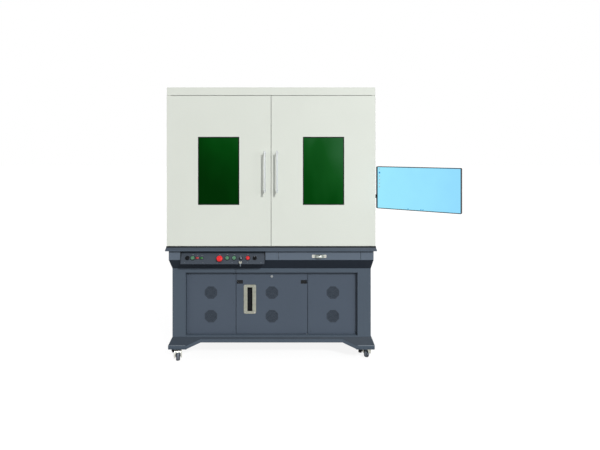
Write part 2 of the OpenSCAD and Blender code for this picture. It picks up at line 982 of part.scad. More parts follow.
module selector_knob() {
    color(black)
        on_console(selector_x) {
            translate([0, 0, -8]) cylinder(r = button_r, h = 8 + bezel_h + 3);
            translate([0, 0, bezel_h + 3 - hair])
                linear_extrude(10) rounded(7, 2 * button_r - 1, 3);
        }
}

// ---- Lower base ----

inlet_x = 520;
inlet_z = 230;
inlet_w = 36;
inlet_h = 28;

module base_walls() {
    z0 = floor_z + 3;
    color(slate) {
        block(
            [-base_x, base_y0 + recess_d, floor_z],
            [base_x, base_y1, z0]
        );
        both_sides()
            translate([base_x - 15, base_y0 + recess_d, z0])
                tray([15, base_y1 - base_y0 - recess_d, base_z1 - z0], sheet, [-1, 0, 0]);
        difference() {
            union() {
                translate([-base_x + 15, base_y1 - 15, z0])
                    tray([2 * base_x - 30, 15, base_z1 - z0], sheet, [0, -1, 0]);
                // power inlet
                block(
                    [inlet_x - inlet_w / 2 - 4, base_y1 - 13, inlet_z - inlet_h / 2 - 4],
                    [inlet_x + inlet_w / 2 + 4, base_y1 + 3, inlet_z + inlet_h / 2 + 4]
                );
            }
            for (i = [0:7], side = [-1, 1])
                translate([side * base_x * 0.55, base_y1, floor_z + 160 + i * 22])
                    cube([260, 10, 6], center = true);
            difference() {
                block(
                    [inlet_x - inlet_w / 2, base_y1 - 11, inlet_z - inlet_h / 2],
                    [inlet_x + inlet_w / 2, base_y1 + 4, inlet_z + inlet_h / 2]
                );
                block(
                    [inlet_x - inlet_w / 2 + 4, base_y1 - 12, inlet_z - inlet_h / 2 + 4],
                    [inlet_x + inlet_w / 2 - 4, base_y1 + 1, inlet_z + inlet_h / 2 - 4]
                );
            }
            for (pin = [-7, 0, 7])
                translate([inlet_x + pin, base_y1, inlet_z + (pin == 0 ? 3 : -2)])
                    cube([2, 20, 4], center = true);
        }
    }
}

module front_frame() {
    back = base_y0 + jamb_d;
    rim = [recess_x + sheet, recess_z0 - sheet, recess_z1 + sheet];
    color(slate)
        difference() {
            union() {
                difference() {
                    block([-base_x, base_y0, floor_z], [base_x, base_y0 + recess_d, base_z1]);
                    block(
                        [-base_x + sheet, base_y0 + sheet, floor_z + sheet],
                        [base_x - sheet, base_y0 + recess_d + bite, base_z1 - sheet]
                    );
                }
                block([-rim[0], base_y0, rim[1]], [rim[0], back, rim[2]]);
            }
            difference() {
                block(
                    [-recess_x, base_y0 - bite, recess_z0],
                    [recess_x, back + bite, recess_z1]
                );
                for (x = [-bay_x, bay_x])
                    difference() {
                        block(
                            [x - mullion_w / 2, panel_y + panel_fold, recess_z0 - bite],
                            [x + mullion_w / 2, panel_y + panel_fold + mullion_d, recess_z1 + bite]
                        );
                        block(
                            [x - mullion_w, panel_y, latch_z - 12],
                            [x + mullion_w, panel_y + panel_fold + 6, latch_z + 12]
                        );
                    }
            }
        }
}

// A regular octagon given by the distance across its flats
module octagon(af) {
    rotate(22.5) circle(r = af / 2 / cos(22.5), $fn = 8);
}

module vent_holes(x) {
    for (z = vent_z)
        translate([x, panel_y + sheet + bite, z])
            facing_front() linear_extrude(sheet + 2 * bite) octagon(vent_af);
}

// A pressed octagonal guard: a middle hole and three rings of slots between four spokes
module grille(x, z) {
    translate([x, panel_y + 2 * sheet, z])
        facing_front()
            linear_extrude(sheet)
                difference() {
                    octagon(vent_af + 2 * vent_lap);
                    circle(4);
                    for (i = [1:3])
                        difference() {
                            circle(i * 9.4 + 6);
                            circle(i * 9.4);
                            for (turn = [45, 135])
                                rotate(turn) square([vent_af, 5], center = true);
                        }
                }
}

panel_gap = 1;

module vent_panels() {
    x0 = bay_x + seam_gap / 2;
    color(slate)
        both_sides()
            difference() {
                translate([x0, panel_y, recess_z0 + panel_gap])
                    tray(
                        [recess_x - panel_gap - x0, panel_fold, recess_z1 - recess_z0 - 2 * panel_gap],
                        sheet, [0, 1, 0]
                    );
                vent_holes(vent_x);
                block(
                    [x0 - bite, panel_y + sheet, latch_z - bolt_h / 2 - 1],
                    [x0 + 2 * sheet, panel_y + 12, latch_z + bolt_h / 2 + 1]
                );
            }
}

module panel_grilles() {
    color([0.2, 0.23, 0.26])
        for (x = [-vent_x, vent_x], z = vent_z) grille(x, z);
}

lock_r = 8;

module access_door() {
    z0 = recess_z0 + seam_gap / 2;
    z1 = recess_z1 - seam_gap / 2;
    color(slate)
        difference() {
            union() {
                translate([-access_x, panel_y, z0])
                    tray([2 * access_x, door_fold, z1 - z0], sheet, [0, 1, 0]);
                translate([0, panel_y + door_fold, lock_z])
                    facing_front() cylinder(r = lock_r + 3, h = door_fold + 2);
                translate([access_pivot_x, access_pivot_y, 0])
                    for (z = [z0, z1 - sheet - 2])
                        translate([0, 0, z]) cylinder(r = access_pin_r + 2, h = sheet + 2);
            }
            vent_holes(0);
            translate([0, panel_y + 2 * door_fold, lock_z])
                facing_front() cylinder(r = lock_r + fit, h = 3 * door_fold);
            translate([access_pivot_x, access_pivot_y, z0 - bite])
                cylinder(r = access_pin_r + fit, h = z1 - z0 + 2 * bite);
            translate([pull_at[0], panel_y + sheet + bite, pull_at[1]])
                facing_front() linear_extrude(sheet + 2 * bite)
                    square([slot_in_w + 2 * sheet + 1, slot_in_h + 2 * sheet + 1], center = true);
            both_sides() {
                block(
                    [latch_x - latch_w / 2, panel_y - bite, latch_z - latch_h / 2],
                    [latch_x + latch_w / 2, panel_y + 2 * sheet, latch_z + latch_h / 2]
                );
                block(
                    [access_x - 2 * sheet, panel_y + sheet, latch_z - bolt_h / 2 - 1],
                    [access_x + bite, panel_y + door_fold - 1, latch_z + bolt_h / 2 + 1]
                );
            }
        }
}

module door_grilles() {
    color([0.2, 0.23, 0.26])
        for (z = vent_z) grille(0, z);
}

slot_in_w = 32;
slot_in_h = 152;
pocket_d = 22;

module pull_plate() {
    color(cream)
        translate([pull_at[0], panel_y, pull_at[1]])
            difference() {
                union() {
                    facing_front() linear_extrude(3) rounded(pull_w, pull_h, 9);
                    translate([0, pocket_d, 0])
                        facing_front()
                            linear_extrude(pocket_d + 1)
                                square([slot_in_w + 2 * sheet, slot_in_h + 2 * sheet], center = true);
                }
                translate([0, pocket_d - sheet, 0])
                    facing_front()
                        linear_extrude(pocket_d + 10)
                            square([slot_in_w, slot_in_h], center = true);
            }
}

cam_len = 38;

module lock_plug() {
    cam_y = base_y0 + jamb_d + 1;
    color(zinc)
        translate([0, 0, lock_z])
            difference() {
                union() {
                    translate([0, cam_y + 3, 0])
                        facing_front() cylinder(r = lock_r, h = cam_y + 3 - panel_y + 3);
                    block([0, cam_y, -lock_r / 2], [cam_len, cam_y + 3, lock_r / 2]);
                }
                translate([0, panel_y - 3, 0]) cube([1.6, 4, 9], center = true);
            }
}

latch_w = 39;
latch_h = 23;

// A flush slide latch: a ribbed plate in its place in the door, and a bolt behind the door's edge
module slide_latch() {
    bolt_end = access_x - sheet - 0.5;
    plate_x0 = latch_x - latch_w / 2 + slip;
    plate_x1 = latch_x + latch_w / 2 - slip - bolt_travel;
    color(black)
        union() {
            difference() {
                block(
                    [plate_x0, panel_y, latch_z - latch_h / 2 + slip],
                    [plate_x1, panel_y + sheet + slip + hair, latch_z + latch_h / 2 - slip]
                );
                for (i = [-2:2])
                    translate([(plate_x0 + plate_x1) / 2 + i * 5, panel_y, latch_z])
                        cube([2.4, 2, latch_h - 5], center = true);
            }
            block(
                [plate_x0 - 3, panel_y + sheet + slip, latch_z - latch_h / 2 - 3],
                [plate_x1 - 1, panel_y + sheet + slip + 3, latch_z + latch_h / 2 + 3]
            );
            block(
                [plate_x0, panel_y + sheet + slip, latch_z - bolt_h / 2],
                [bolt_end, panel_y + sheet + slip + 6, latch_z + bolt_h / 2]
            );
        }
}

module left_latch() { mirror([1, 0, 0]) slide_latch(); }
module right_latch() { slide_latch(); }

// ---- Foot and casters ----

// The flared skirt as a solid, smaller all round by an inset, with its faces set back over the arches
module skirt_form(inset) {
    low = [foot_x - inset, foot_y0 + inset, foot_y1 - inset];
    high = [base_x - inset, base_y0 + inset, base_y1 - inset];
    step = skirt_out * arch_rise / skirt_drop;
    difference() {
        union() {
            flare(low, skirt_z, high, floor_z);
            block([-low[0], low[1], foot_z], [low[0], low[2], skirt_z + hair]);
        }
        arch_plan(low[0] + inset, low[1] - inset, step + inset, inset);
        mirror([0, 1, 0]) arch_plan(low[0] + inset, -low[2] - inset, step + inset, inset);
        for (side = [-1, 1])
            rotate(side * 90)
                translate([side * (foot_y0 + foot_y1) / 2, 0, 0])
                    arch_plan((foot_y1 - foot_y0) / 2, -foot_x, step + inset, inset);
    }
}

// Cuts the face of one side of the skirt back between its two feet
module arch_plan(half, face, step, inset) {
    far = half - foot_len + inset * 0.2;
    near = far - arch_slope;
    translate([0, 0, foot_z - bite])
        linear_extrude(skirt_z + arch_rise - foot_z + bite)
            polygon([
                [-far, face + inset], [-near, face + step], [near, face + step], [far, face + inset],
                [far, face - 50], [-far, face - 50]
            ]);
}

// Cuts the lower edge of one side of the skirt up between its two feet
module arch_edge(half, face) {
    far = half - foot_len;
    near = far - arch_slope;
    translate([0, face + 40, 0])
        facing_front()
            linear_extrude(60)
                polygon([
                    [-far, foot_z], [-near, foot_z + arch_rise],
                    [near, foot_z + arch_rise], [far, foot_z],
                    [far, foot_z - 50], [-far, foot_z - 50]
                ]);
}

module plinth() {
    color(slate)
        difference() {
            union() {
                difference() {
                    skirt_form(0);
                    translate([0, 0, -bite]) skirt_form(skirt_t);
                    translate([0, 0, -skirt_z + foot_z]) skirt_form(skirt_t);
                    arch_edge(foot_x, foot_y0);
                    mirror([0, 1, 0]) arch_edge(foot_x, -foot_y1);
                    for (side = [-1, 1])
                        rotate(side * 90)
                            translate([side * (foot_y0 + foot_y1) / 2, 0, 0])
                                arch_edge((foot_y1 - foot_y0) / 2, -foot_x);
                }
                both_sides()
                    for (y = [caster_y0, caster_y1]) {
                        block(
                            [foot_x - foot_len, y - foot_len / 2, foot_z],
                            [foot_x - skirt_t + hair, y + foot_len / 2, foot_z + 4]
                        );
                        block([caster_x - 42, y - 36, plate_z], [caster_x + 42, y + 36, foot_z + hair]);
                        block([caster_x - 12, y - 12, foot_z], [caster_x + 12, y + 12, floor_z]);
                    }
            }
            both_sides()
                translate([caster_x, caster_y0, plate_z - bite])
                    cylinder(r = kingpin_r + fit, h = 14);
        }
}

kingpin_r = 6;

// A caster fork around its swivel at the origin, with its axle trailing toward the front
module fork(swivel) {
    head = swivel ? plate_z - slip : plate_z;
    difference() {
        union() {
            translate([0, 0, fork_top]) cylinder(r = 24, h = head - fork_top);
            if (swivel)
                translate([0, 0, head - hair]) cylinder(r = kingpin_r, h = 10);
            block([-fork_w / 2 - fork_t, -24, fork_top - 4], [fork_w / 2 + fork_t, 18, fork_top + hair]);
            for (side = [-1, 1])
                translate([side * (fork_w + fork_t) / 2 - fork_t / 2, 0, 0])
                    rotate([90, 0, 90])
                        linear_extrude(fork_t)
                            union() {
                                polygon([
                                    [-24, fork_top], [18, fork_top], [-trail + 10, wheel_r],
                                    [-trail - 10, wheel_r], [-trail - 10, wheel_r + 20]
                                ]);
                                translate([-trail, wheel_r]) circle(10);
                            }
            translate([-fork_w / 2 - fork_t - 4, -trail, wheel_r])
                rotate([0, 90, 0]) cylinder(r = axle_r, h = fork_w + 2 * fork_t + 8);
        }
    }
}

// A caster wheel around its axle, in the place it has on a fork
module wheel() {
    translate([-wheel_w / 2, -trail, wheel_r])
        rotate([0, 90, 0])
            rotate_extrude($fn = 64)
                polygon([
                    [axle_r + fit, -2], [axle_r + 5, -2], [axle_r + 5, 3], [wheel_r - 14, 3],
                    [wheel_r - 12, 1], [wheel_r - 4, 0], [wheel_r, 5],
                    [wheel_r, wheel_w - 5], [wheel_r - 4, wheel_w], [wheel_r - 12, wheel_w - 1],
                    [wheel_r - 14, wheel_w - 3], [axle_r + 5, wheel_w - 3],
                    [axle_r + 5, wheel_w + 2], [axle_r + fit, wheel_w + 2]
                ]);
}

// A brake lever on the end of the axle, with its pedal beside the fork
module brake() {
    inner = -fork_w / 2 - fork_t - slip;
    translate([0, -trail, wheel_r]) {
        translate([inner - 2.5, 0, 0])
            rotate([0, 90, 0])
                difference() {
                    cylinder(r = 8, h = 2.5);
                    translate([0, 0, -bite]) cylinder(r = axle_r + fit, h = 6);
                }
        translate([inner - 2.5, 0, 0])
            rotate([90, 0, 90])
                linear_extrude(2.5)
                    polygon([[-3, 7], [4, 6.5], [22, 24], [22, 30], [14, 30]]);
        difference() {
            translate([inner - 18, 8, 18]) cube([18, 26, 18]);
            for (i = [0:3])
                translate([inner - 19, 11 + i * 6, 34.5]) cube([18, 2, 3]);
        }
    }
}

module at_left_caster() {
    translate([-caster_x, caster_y0, 0]) rotate(left_turn) children();
}

module at_right_caster() {
    translate([caster_x, caster_y0, 0]) rotate(right_turn) children();
}

module rear_forks() {
    color(zinc)
        both_sides() translate([caster_x, caster_y1, 0]) fork(false);
}

module left_fork() { color(zinc) at_left_caster() fork(true); }
module right_fork() { color(zinc) at_right_caster() fork(true); }
module front_left_wheel() { color(black) at_left_caster() wheel(); }
module front_right_wheel() { color(black) at_right_caster() wheel(); }
module rear_left_wheel() { color(black) translate([-caster_x, caster_y1, 0]) wheel(); }
module rear_right_wheel() { color(black) translate([caster_x, caster_y1, 0]) wheel(); }
module left_brake() { color(black) at_left_caster() brake(); }
module right_brake() { color(black) at_right_caster() mirror([1, 0, 0]) brake(); }

// ---- What stands inside the base ----

fan_w = 80;

module electronics() {
    z0 = floor_z + 3;
    color([0.5, 0.52, 0.55]) {
        // laser source
        difference() {
            translate([-500, 0, z0]) tray([440, 330, 160], 3, [0, 0, -1]);
            for (i = [0:11])
                translate([-478 + i * 36, 0, z0 + 80]) cube([20, 12, 110], center = true);
        }
        // computer
        difference() {
            translate([60, -60, z0]) tray([180, 400, 380], sheet, [0, 0, -1]);
            for (i = [0:9])
                translate([150, -60, z0 + 40 + i * 12]) cube([130, 12, 5], center = true);
        }
        // power supply and drive housing
        translate([320, 20, z0]) tray([220, 320, 240], sheet, [0, 0, -1]);
        // cooling fans behind the fixed grilles
        for (x = [-vent_x, vent_x], z = vent_z)
            translate([x, panel_y + 2 * sheet + 25, z])
                facing_front()
                    difference() {
                        linear_extrude(25) rounded(fan_w, fan_w, 6);
                        translate([0, 0, -bite]) cylinder(r = fan_w / 2 - 3, h = 27);
                    }
    }
}

// ---- Monitor and arm ----

module arm_bracket() {
    color(steel)
        difference() {
            union() {
                block([side_x, arm_y - 45, arm_z - 30], [side_x + 6, arm_y + 45, arm_z + 50]);
                block([side_x + 6 - hair, arm_y - 16, arm_z], [arm_x, arm_y + 16, arm_z + arm_t]);
                translate([arm_x, arm_y, arm_z]) cylinder(r = 20, h = arm_t);
            }
            translate([arm_x, arm_y, arm_z + 4]) cylinder(r = arm_pin_r + fit, h = arm_t);
        }
}

// One arm link: a flat bar with round ends, a pin below its root and a bore at its tip
module arm_link(from, turn, level) {
    translate([from[0], from[1], arm_z + level * arm_t + slip])
        rotate(turn)
            difference() {
                union() {
                    cylinder(r = 20, h = arm_t - slip);
                    translate([link_len, 0, 0]) cylinder(r = 20, h = arm_t - slip);
                    block([0, -15, 0], [link_len, 15, arm_t - slip]);
                    translate([0, 0, -arm_t + 6]) cylinder(r = arm_pin_r, h = arm_t);
                }
                translate([link_len, 0, 4]) cylinder(r = arm_pin_r + fit, h = arm_t);
            }
}

module lower_arm() { color(steel) arm_link([arm_x, arm_y], link_1_turn, 1); }
module upper_arm() { color(steel) arm_link(elbow, link_2_turn, 2); }

head_r = 14;
tilt_half = 20;

module monitor_head() {
    z0 = arm_z + 3 * arm_t + slip;
    color(steel)
        translate([wrist[0], wrist[1], 0]) {
            translate([0, 0, z0]) cylinder(r = 18, h = 6);
            translate([0, 0, z0]) cylinder(r = head_r, h = tilt_z - z0 + 10);
            translate([0, 0, z0 - arm_t + 6]) cylinder(r = arm_pin_r, h = arm_t);
            rotate(monitor_yaw)
                translate([-tilt_half - 8, 0, tilt_z])
                    rotate([0, 90, 0]) cylinder(r = tilt_pin_r, h = 2 * tilt_half + 16);
        }
}

// Puts a child at the tilt axis, with X along the monitor and Y away from the viewer
module at_monitor() {
    translate([wrist[0], wrist[1], tilt_z]) rotate(monitor_yaw) children();
}

case_drop = monitor_z - tilt_z;

module monitor_case() {
    back = -neck;
    front = -neck - monitor_t;
    color([0.1, 0.12, 0.14])
        at_monitor()
            difference() {
                union() {
                    translate([0, front + monitor_t - 12, case_drop])
                        facing_front()
                            linear_extrude(monitor_t - 12 + 4) rounded(monitor_w, monitor_h, 4);
                    block(
                        [-monitor_w * 0.32, back - 14, case_drop - monitor_h * 0.34],
                        [monitor_w * 0.32, back, case_drop + monitor_h * 0.34]
                    );
                    block([-50, back - hair, -50], [50, back + 5, 50]);
                    for (side = [-1, 1])
                        translate([side * (head_r + 4.3) - 4, 0, 0]) {
                            block([0, back, -16], [8, 0, 16]);
                            rotate([0, 90, 0]) cylinder(r = 16, h = 8);
                        }
                }
                rotate([0, 90, 0])
                    translate([0, 0, -60]) cylinder(r = tilt_pin_r + fit, h = 120);
                translate([0, front + 0, case_drop])
                    facing_front()
                        linear_extrude(10)
                            square([monitor_w - 2 * bezel, monitor_h - 2 * bezel], center = true);
            }
}

module monitor_screen() {
    color([0.57, 0.88, 1])
        at_monitor()
            translate([0, -neck - monitor_t, case_drop])
                facing_front()
                    linear_extrude(2)
                        square([monitor_w - 2 * bezel, monitor_h - 2 * bezel], center = true);
}

// ---- The whole machine ----

translate([-origin_x, -origin_y, 0]) {
    top_cover();
    side_panels();
    back_panel();
    door_pivots();
    left_door();
    left_window();
    left_handle();
    right_door();
    right_window();
    right_handle();
    table_deck();
    work_table();
    z_column();
    z_carriage();
    lead_screw();
    scan_head();
    scan_lens();
    apron();
    drawer_slides();
    drawer();
    drawer_pull();
    control_console();
    button_bezels();
    estop_button();
    lamp_button();
    start_button();
    focus_button();
    stop_button();
    red_rocker();
    green_rocker();
    key();
    key_tag();
    selector_knob();
    base_walls();
    front_frame();
    vent_panels();
    panel_grilles();
    access_door();
    door_grilles();
    pull_plate();
    lock_plug();
    left_latch();
    right_latch();
    plinth();
    rear_forks();
    left_fork();
    right_fork();
    front_left_wheel();
    front_right_wheel();
    rear_left_wheel();
    rear_right_wheel();
    left_brake();
    right_brake();
    electronics();
    arm_bracket();
    lower_arm();
    upper_arm();
    monitor_head();
    monitor_case();
    monitor_screen();
}
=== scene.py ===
"""The looks of a free-standing fiber laser engraver with a doored enclosure on a cabinet."""

import json
from math import cos, pi, radians, sin, tan

import bmesh
import bpy
from mathutils import Matrix, Vector

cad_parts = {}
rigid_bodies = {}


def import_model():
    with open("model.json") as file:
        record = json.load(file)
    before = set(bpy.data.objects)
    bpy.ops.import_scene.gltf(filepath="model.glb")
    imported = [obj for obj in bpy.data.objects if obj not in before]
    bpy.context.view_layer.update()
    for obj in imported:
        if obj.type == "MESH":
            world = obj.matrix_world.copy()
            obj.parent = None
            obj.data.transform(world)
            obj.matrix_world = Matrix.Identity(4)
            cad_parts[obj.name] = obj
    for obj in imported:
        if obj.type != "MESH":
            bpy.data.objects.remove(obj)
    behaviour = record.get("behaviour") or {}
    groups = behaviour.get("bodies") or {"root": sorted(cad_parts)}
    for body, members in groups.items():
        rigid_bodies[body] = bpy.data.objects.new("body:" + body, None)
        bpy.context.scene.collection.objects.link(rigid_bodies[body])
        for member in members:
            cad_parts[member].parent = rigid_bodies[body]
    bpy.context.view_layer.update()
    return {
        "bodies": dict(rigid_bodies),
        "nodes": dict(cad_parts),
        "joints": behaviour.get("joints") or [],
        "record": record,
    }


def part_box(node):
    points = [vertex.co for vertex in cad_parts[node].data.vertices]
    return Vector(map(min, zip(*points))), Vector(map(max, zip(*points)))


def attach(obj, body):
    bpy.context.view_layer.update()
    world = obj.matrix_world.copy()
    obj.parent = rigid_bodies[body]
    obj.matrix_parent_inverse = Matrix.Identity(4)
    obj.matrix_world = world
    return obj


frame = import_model()
NODES = frame["nodes"]

# The middle of the cabinet, from its side walls: places are measured from there.
HALF_DEPTH = 450
WALLS_LOW, WALLS_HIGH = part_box("side_panels")
MID_X = (WALLS_LOW.x + WALLS_HIGH.x) / 2
MID_Y = WALLS_HIGH.y - HALF_DEPTH / 1000


def at(x, y, z):
    """A place in the cabinet's own millimetres: across, back from its middle, and up from the floor."""
    return Vector((MID_X + x / 1000, MID_Y + y / 1000, z / 1000))


def x_of(place):
    """How far a place is across from the cabinet's middle, in millimetres."""
    return (place.x - MID_X) * 1000


def y_of(place):
    """How far a place is behind the cabinet's middle, in millimetres."""
    return (place.y - MID_Y) * 1000


HALF_WIDTH = round(x_of(WALLS_HIGH))


def middle(node):
    """The middle of a CAD node's box, in metres."""
    low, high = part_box(node)
    return (low + high) / 2


def new_object(name, data):
    """An object in the scene that shows a mesh, a light or a camera."""
    obj = bpy.data.objects.new(name, data)
    bpy.context.scene.collection.objects.link(obj)
    return obj


# -------- camera

camera_data = bpy.data.cameras.new("camera")
camera_data.sensor_width = 36.0
camera_data.lens = 27.95
camera_data.shift_y = -0.129  # level, as the photo's upright lines show, with the frame slid down
camera = new_object("camera", camera_data)
camera.location = at(180, -3350, 1350)
camera.rotation_euler = (radians(90), 0, 0)
bpy.context.scene.camera = camera

# -------- materials


def srgb(r, g, b):
    """A colour given as 8-bit screen values, as the linear values that Blender's sockets take."""

    def linear(v):
        v /= 255
        return v / 12.92 if v <= 0.04045 else ((v + 0.055) / 1.055) ** 2.4

    return (linear(r), linear(g), linear(b), 1.0)


def scaled(colour, k):
    """A colour of three screen values made darker or paler, as linear values."""
    return tuple(min(1.0, c * k) for c in srgb(*colour)[:3]) + (1.0,)


def add(tree, kind, **values):
    """A shader node in a tree, with its settings and its sockets' values."""
    n = tree.nodes.new("ShaderNode" + kind)
    for key, value in values.items():
        if hasattr(n, key):
            setattr(n, key, value)
        else:
            n.inputs[key.replace("_", " ")].default_value = value
    return n


class Paint:
    """A material's node tree, with short names for the nodes that every finish here uses."""

    def __init__(self, name, **sockets):
        self.material = bpy.data.materials.new(name)
        self.material.use_nodes = True
        self.tree = self.material.node_tree
        self.shader = self.tree.nodes["Principled BSDF"]
        for socket, value in sockets.items():
            self.shader.inputs[socket.replace("_", " ")].default_value = value
        self.place = self.tree.nodes.new("ShaderNodeTexCoord").outputs["Object"]

    def link(self, output, socket):
        self.tree.links.new(output, socket)

    def node(self, kind, **values):
        return add(self.tree, kind, **values)

    def stretched(self, scale):
        """Object coordinates squeezed along each axis."""
        n = self.node("Mapping", Scale=scale)
        self.link(self.place, n.inputs["Vector"])
        return n.outputs["Vector"]

    def axes(self):
        """Object coordinates one by one, as outputs named X, Y and Z."""
        n = self.node("SeparateXYZ")
        self.link(self.place, n.inputs[0])
        return n.outputs

    def noise(self, scale, detail=2.0, rough=0.5, vector=None):
        n = self.node("TexNoise", Scale=scale, Detail=detail, Roughness=rough)
        self.link(vector or self.place, n.inputs["Vector"])
        return n.outputs["Fac"]

    def cells(self, scale):
        """A Voronoi pattern's outputs."""
        n = self.node("TexVoronoi", Scale=scale)
        self.link(self.place, n.inputs["Vector"])
        return n.outputs

    def ramp(self, value, *stops):
        """A value turned into a colour, by stops of (value, colour)."""
        n = self.node("ValToRGB")
        e = n.color_ramp.elements
        while len(e) < len(stops):
            e.new(0.5)
        for element, (value_at, colour) in zip(e, stops):
            element.position, element.color = value_at, colour
        self.link(value, n.inputs["Fac"])
        return n.outputs["Color"]

    def span(self, value, low, high, from_low=0.3, from_high=0.7):
        """A value spread over a new range; noise mostly lies between 0.3 and 0.7."""
        n = self.node("MapRange", From_Min=from_low, From_Max=from_high, To_Min=low, To_Max=high)
        self.link(value, n.inputs["Value"])
        return n.outputs["Result"]

    def mix(self, fac, a, b, blend):
        n = self.node("Mix", data_type="RGBA", blend_type=blend)
        n.inputs[0].default_value = fac
        self.link(a, n.inputs[6])
        self.link(b, n.inputs[7])
        return n.outputs[2]

    def plus(self, a, b):
        n = self.node("Math")
        self.link(a, n.inputs[0])
        self.link(b, n.inputs[1])
        return n.outputs[0]

    def round_edges(self, radius=0.0012):
        return self.node("Bevel", samples=4, Radius=radius).outputs["Normal"]

    def bump(self, height, strength, distance, under=None):
        n = self.node("Bump", Strength=strength, Distance=distance)
        self.link(height, n.inputs["Height"])
        if under:
            self.link(under, n.inputs["Normal"])
        return n.outputs["Normal"]

    def to(self, socket, output):
        self.link(output, self.shader.inputs[socket])

    def shades(self, value, colour, dark, pale, low=0.3, high=0.7):
        """A colour that goes from darker to paler with a value."""
        return self.ramp(value, (low, scaled(colour, dark)), (high, scaled(colour, pale)))


def powder_coat(name, colour, rough, grain=1100.0, strength=0.35, drift=0.03, gloss=0.25):
    """Baked powder paint: a fine orange peel, a slow drift of tone, and rubbed, duller patches."""
    p = Paint(name, Specular_IOR_Level=gloss)
    tone = p.shades(p.noise(3.1, 3.0), colour, 1 - drift, 1 + drift)
    specks = p.ramp(p.noise(grain * 0.6, 1.0), (0.42, (0.25, 0.25, 0.25, 1)), (0.6, (1, 1, 1, 1)))
    p.to("Base Color", p.mix(0.05, tone, specks, "MULTIPLY"))
    p.to("Roughness", p.span(p.noise(17.0, 4.0, 0.65), rough - 0.05, rough + 0.07))
    p.to("Normal", p.bump(p.noise(grain), strength, 0.00012, p.round_edges()))
    return p.material


def brushed(name, colour, rough, along="z", streak=0.06):
    """Metal with a grain: long fine scratches along one axis."""
    p = Paint(name, Metallic=1.0, Anisotropic=0.4)
    scale = {"x": (12, 900, 900), "y": (900, 12, 900), "z": (900, 900, 12)}[along]
    lines = p.noise(1.0, 3.0, 0.6, p.stretched(scale))
    p.to("Base Color", p.shades(lines, colour, 1 - streak, 1 + streak))
    p.to("Roughness", p.span(lines, rough - 0.06, rough + 0.08))
    p.to("Normal", p.bump(lines, 0.15, 0.00005, p.round_edges(0.0006)))
    return p.material


def zinc_plate(name, colour, rough=0.36):
    """Bright zinc: cloudy patches with a faint crystal pattern under them."""
    p = Paint(name, Metallic=0.85)
    spangle = p.cells(260.0)["Color"]
    grey = p.shades(p.noise(60.0, 3.0), colour, 0.86, 1.06)
    p.to("Base Color", p.mix(0.06, grey, spangle, "OVERLAY"))
    p.to("Roughness", p.span(p.noise(140.0, 3.0), rough - 0.08, rough + 0.1))
    p.to("Normal", p.bump(p.noise(300.0), 0.1, 0.00006, p.round_edges(0.0006)))
    return p.material


def moulded(name, colour, rough=0.45, grain=2200.0, strength=0.2, coat=0.0, gloss=0.22):
    """Injection-moulded plastic: an even fine spark grain and slight gloss changes."""
    p = Paint(name, Specular_IOR_Level=gloss, Coat_Weight=coat, Coat_Roughness=0.12)
    p.to("Base Color", p.shades(p.noise(40.0), colour, 0.94, 1.06, 0.35, 0.65))
    p.to("Roughness", p.span(p.noise(90.0, 3.0), rough - 0.05, rough + 0.06))
    p.to("Normal", p.bump(p.noise(grain, 1.5), strength, 0.00008, p.round_edges(0.0006)))
    return p.material


def lit_plastic(name, colour, glow):
    """A translucent lens cap: ribbed inside, with a little of its own light."""
    shine = {"Roughness": 0.28, "Specular_IOR_Level": 0.3, "Coat_Weight": 0.12, "Coat_Roughness": 0.1}
    depth = {"Subsurface_Weight": 0.2, "Subsurface_Radius": (0.003, 0.003, 0.003)}
    p = Paint(name, **shine, **depth, Emission_Color=srgb(*colour), Emission_Strength=glow)
    p.to("Base Color", p.shades(p.cells(900.0)["Distance"], colour, 1.25, 0.85, 0.0, 0.8))
    p.to("Normal", p.bump(p.noise(700.0, 1.0), 0.08, 0.0001, p.round_edges(0.0008)))
    return p.material


def safety_acrylic(name):
    """Laser-safe acrylic: deep green and polished, with a painted reflection: paler to the right and the top,
    in long streaks.
    """
    p = Paint(name, IOR=1.3, Roughness=0.08, Transmission_Weight=0.12, Specular_IOR_Level=0.06)
    p.shader.inputs["Specular Tint"].default_value = (0.25, 1.0, 0.35, 1)
    reflection_streaks = p.noise(1.0, 2.0, 0.5, p.stretched((5.0, 5.0, 2.2)))
    axes = p.axes()
    low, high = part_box("left_window")[0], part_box("right_window")[1]
    rightward = p.span(axes["X"], 0.0, 0.6, low.x, high.x)
    upward = p.span(axes["Z"], 0.0, 0.4, low.z, high.z)
    painted_reflection = p.plus(p.plus(rightward, upward), p.span(reflection_streaks, -0.14, 0.14, 0.36, 0.66))
    # The deep stops are the acrylic's green; the pale stops are painted reflection.
    deep = ((0.05, srgb(0, 44, 3)), (0.42, srgb(3, 66, 12)))
    pale = ((0.72, srgb(18, 82, 28)), (1.0, srgb(48, 102, 60)))
    p.to("Base Color", p.ramp(painted_reflection, *deep, *pale))
    p.to("Normal", p.bump(p.noise(9.0, 1.0), 0.05, 0.002))
    return p.material


def rubber(name, colour, rough=0.75):
    """Dull rubber: mottled, with a coarse grain."""
    p = Paint(name, Specular_IOR_Level=0.2)
    p.to("Base Color", p.shades(p.noise(120.0, 4.0), colour, 0.8, 1.25))
    p.to("Roughness", p.span(p.noise(300.0), rough - 0.1, rough + 0.1))
    p.to("Normal", p.bump(p.noise(1500.0), 0.3, 0.0001, p.round_edges(0.001)))
    return p.material


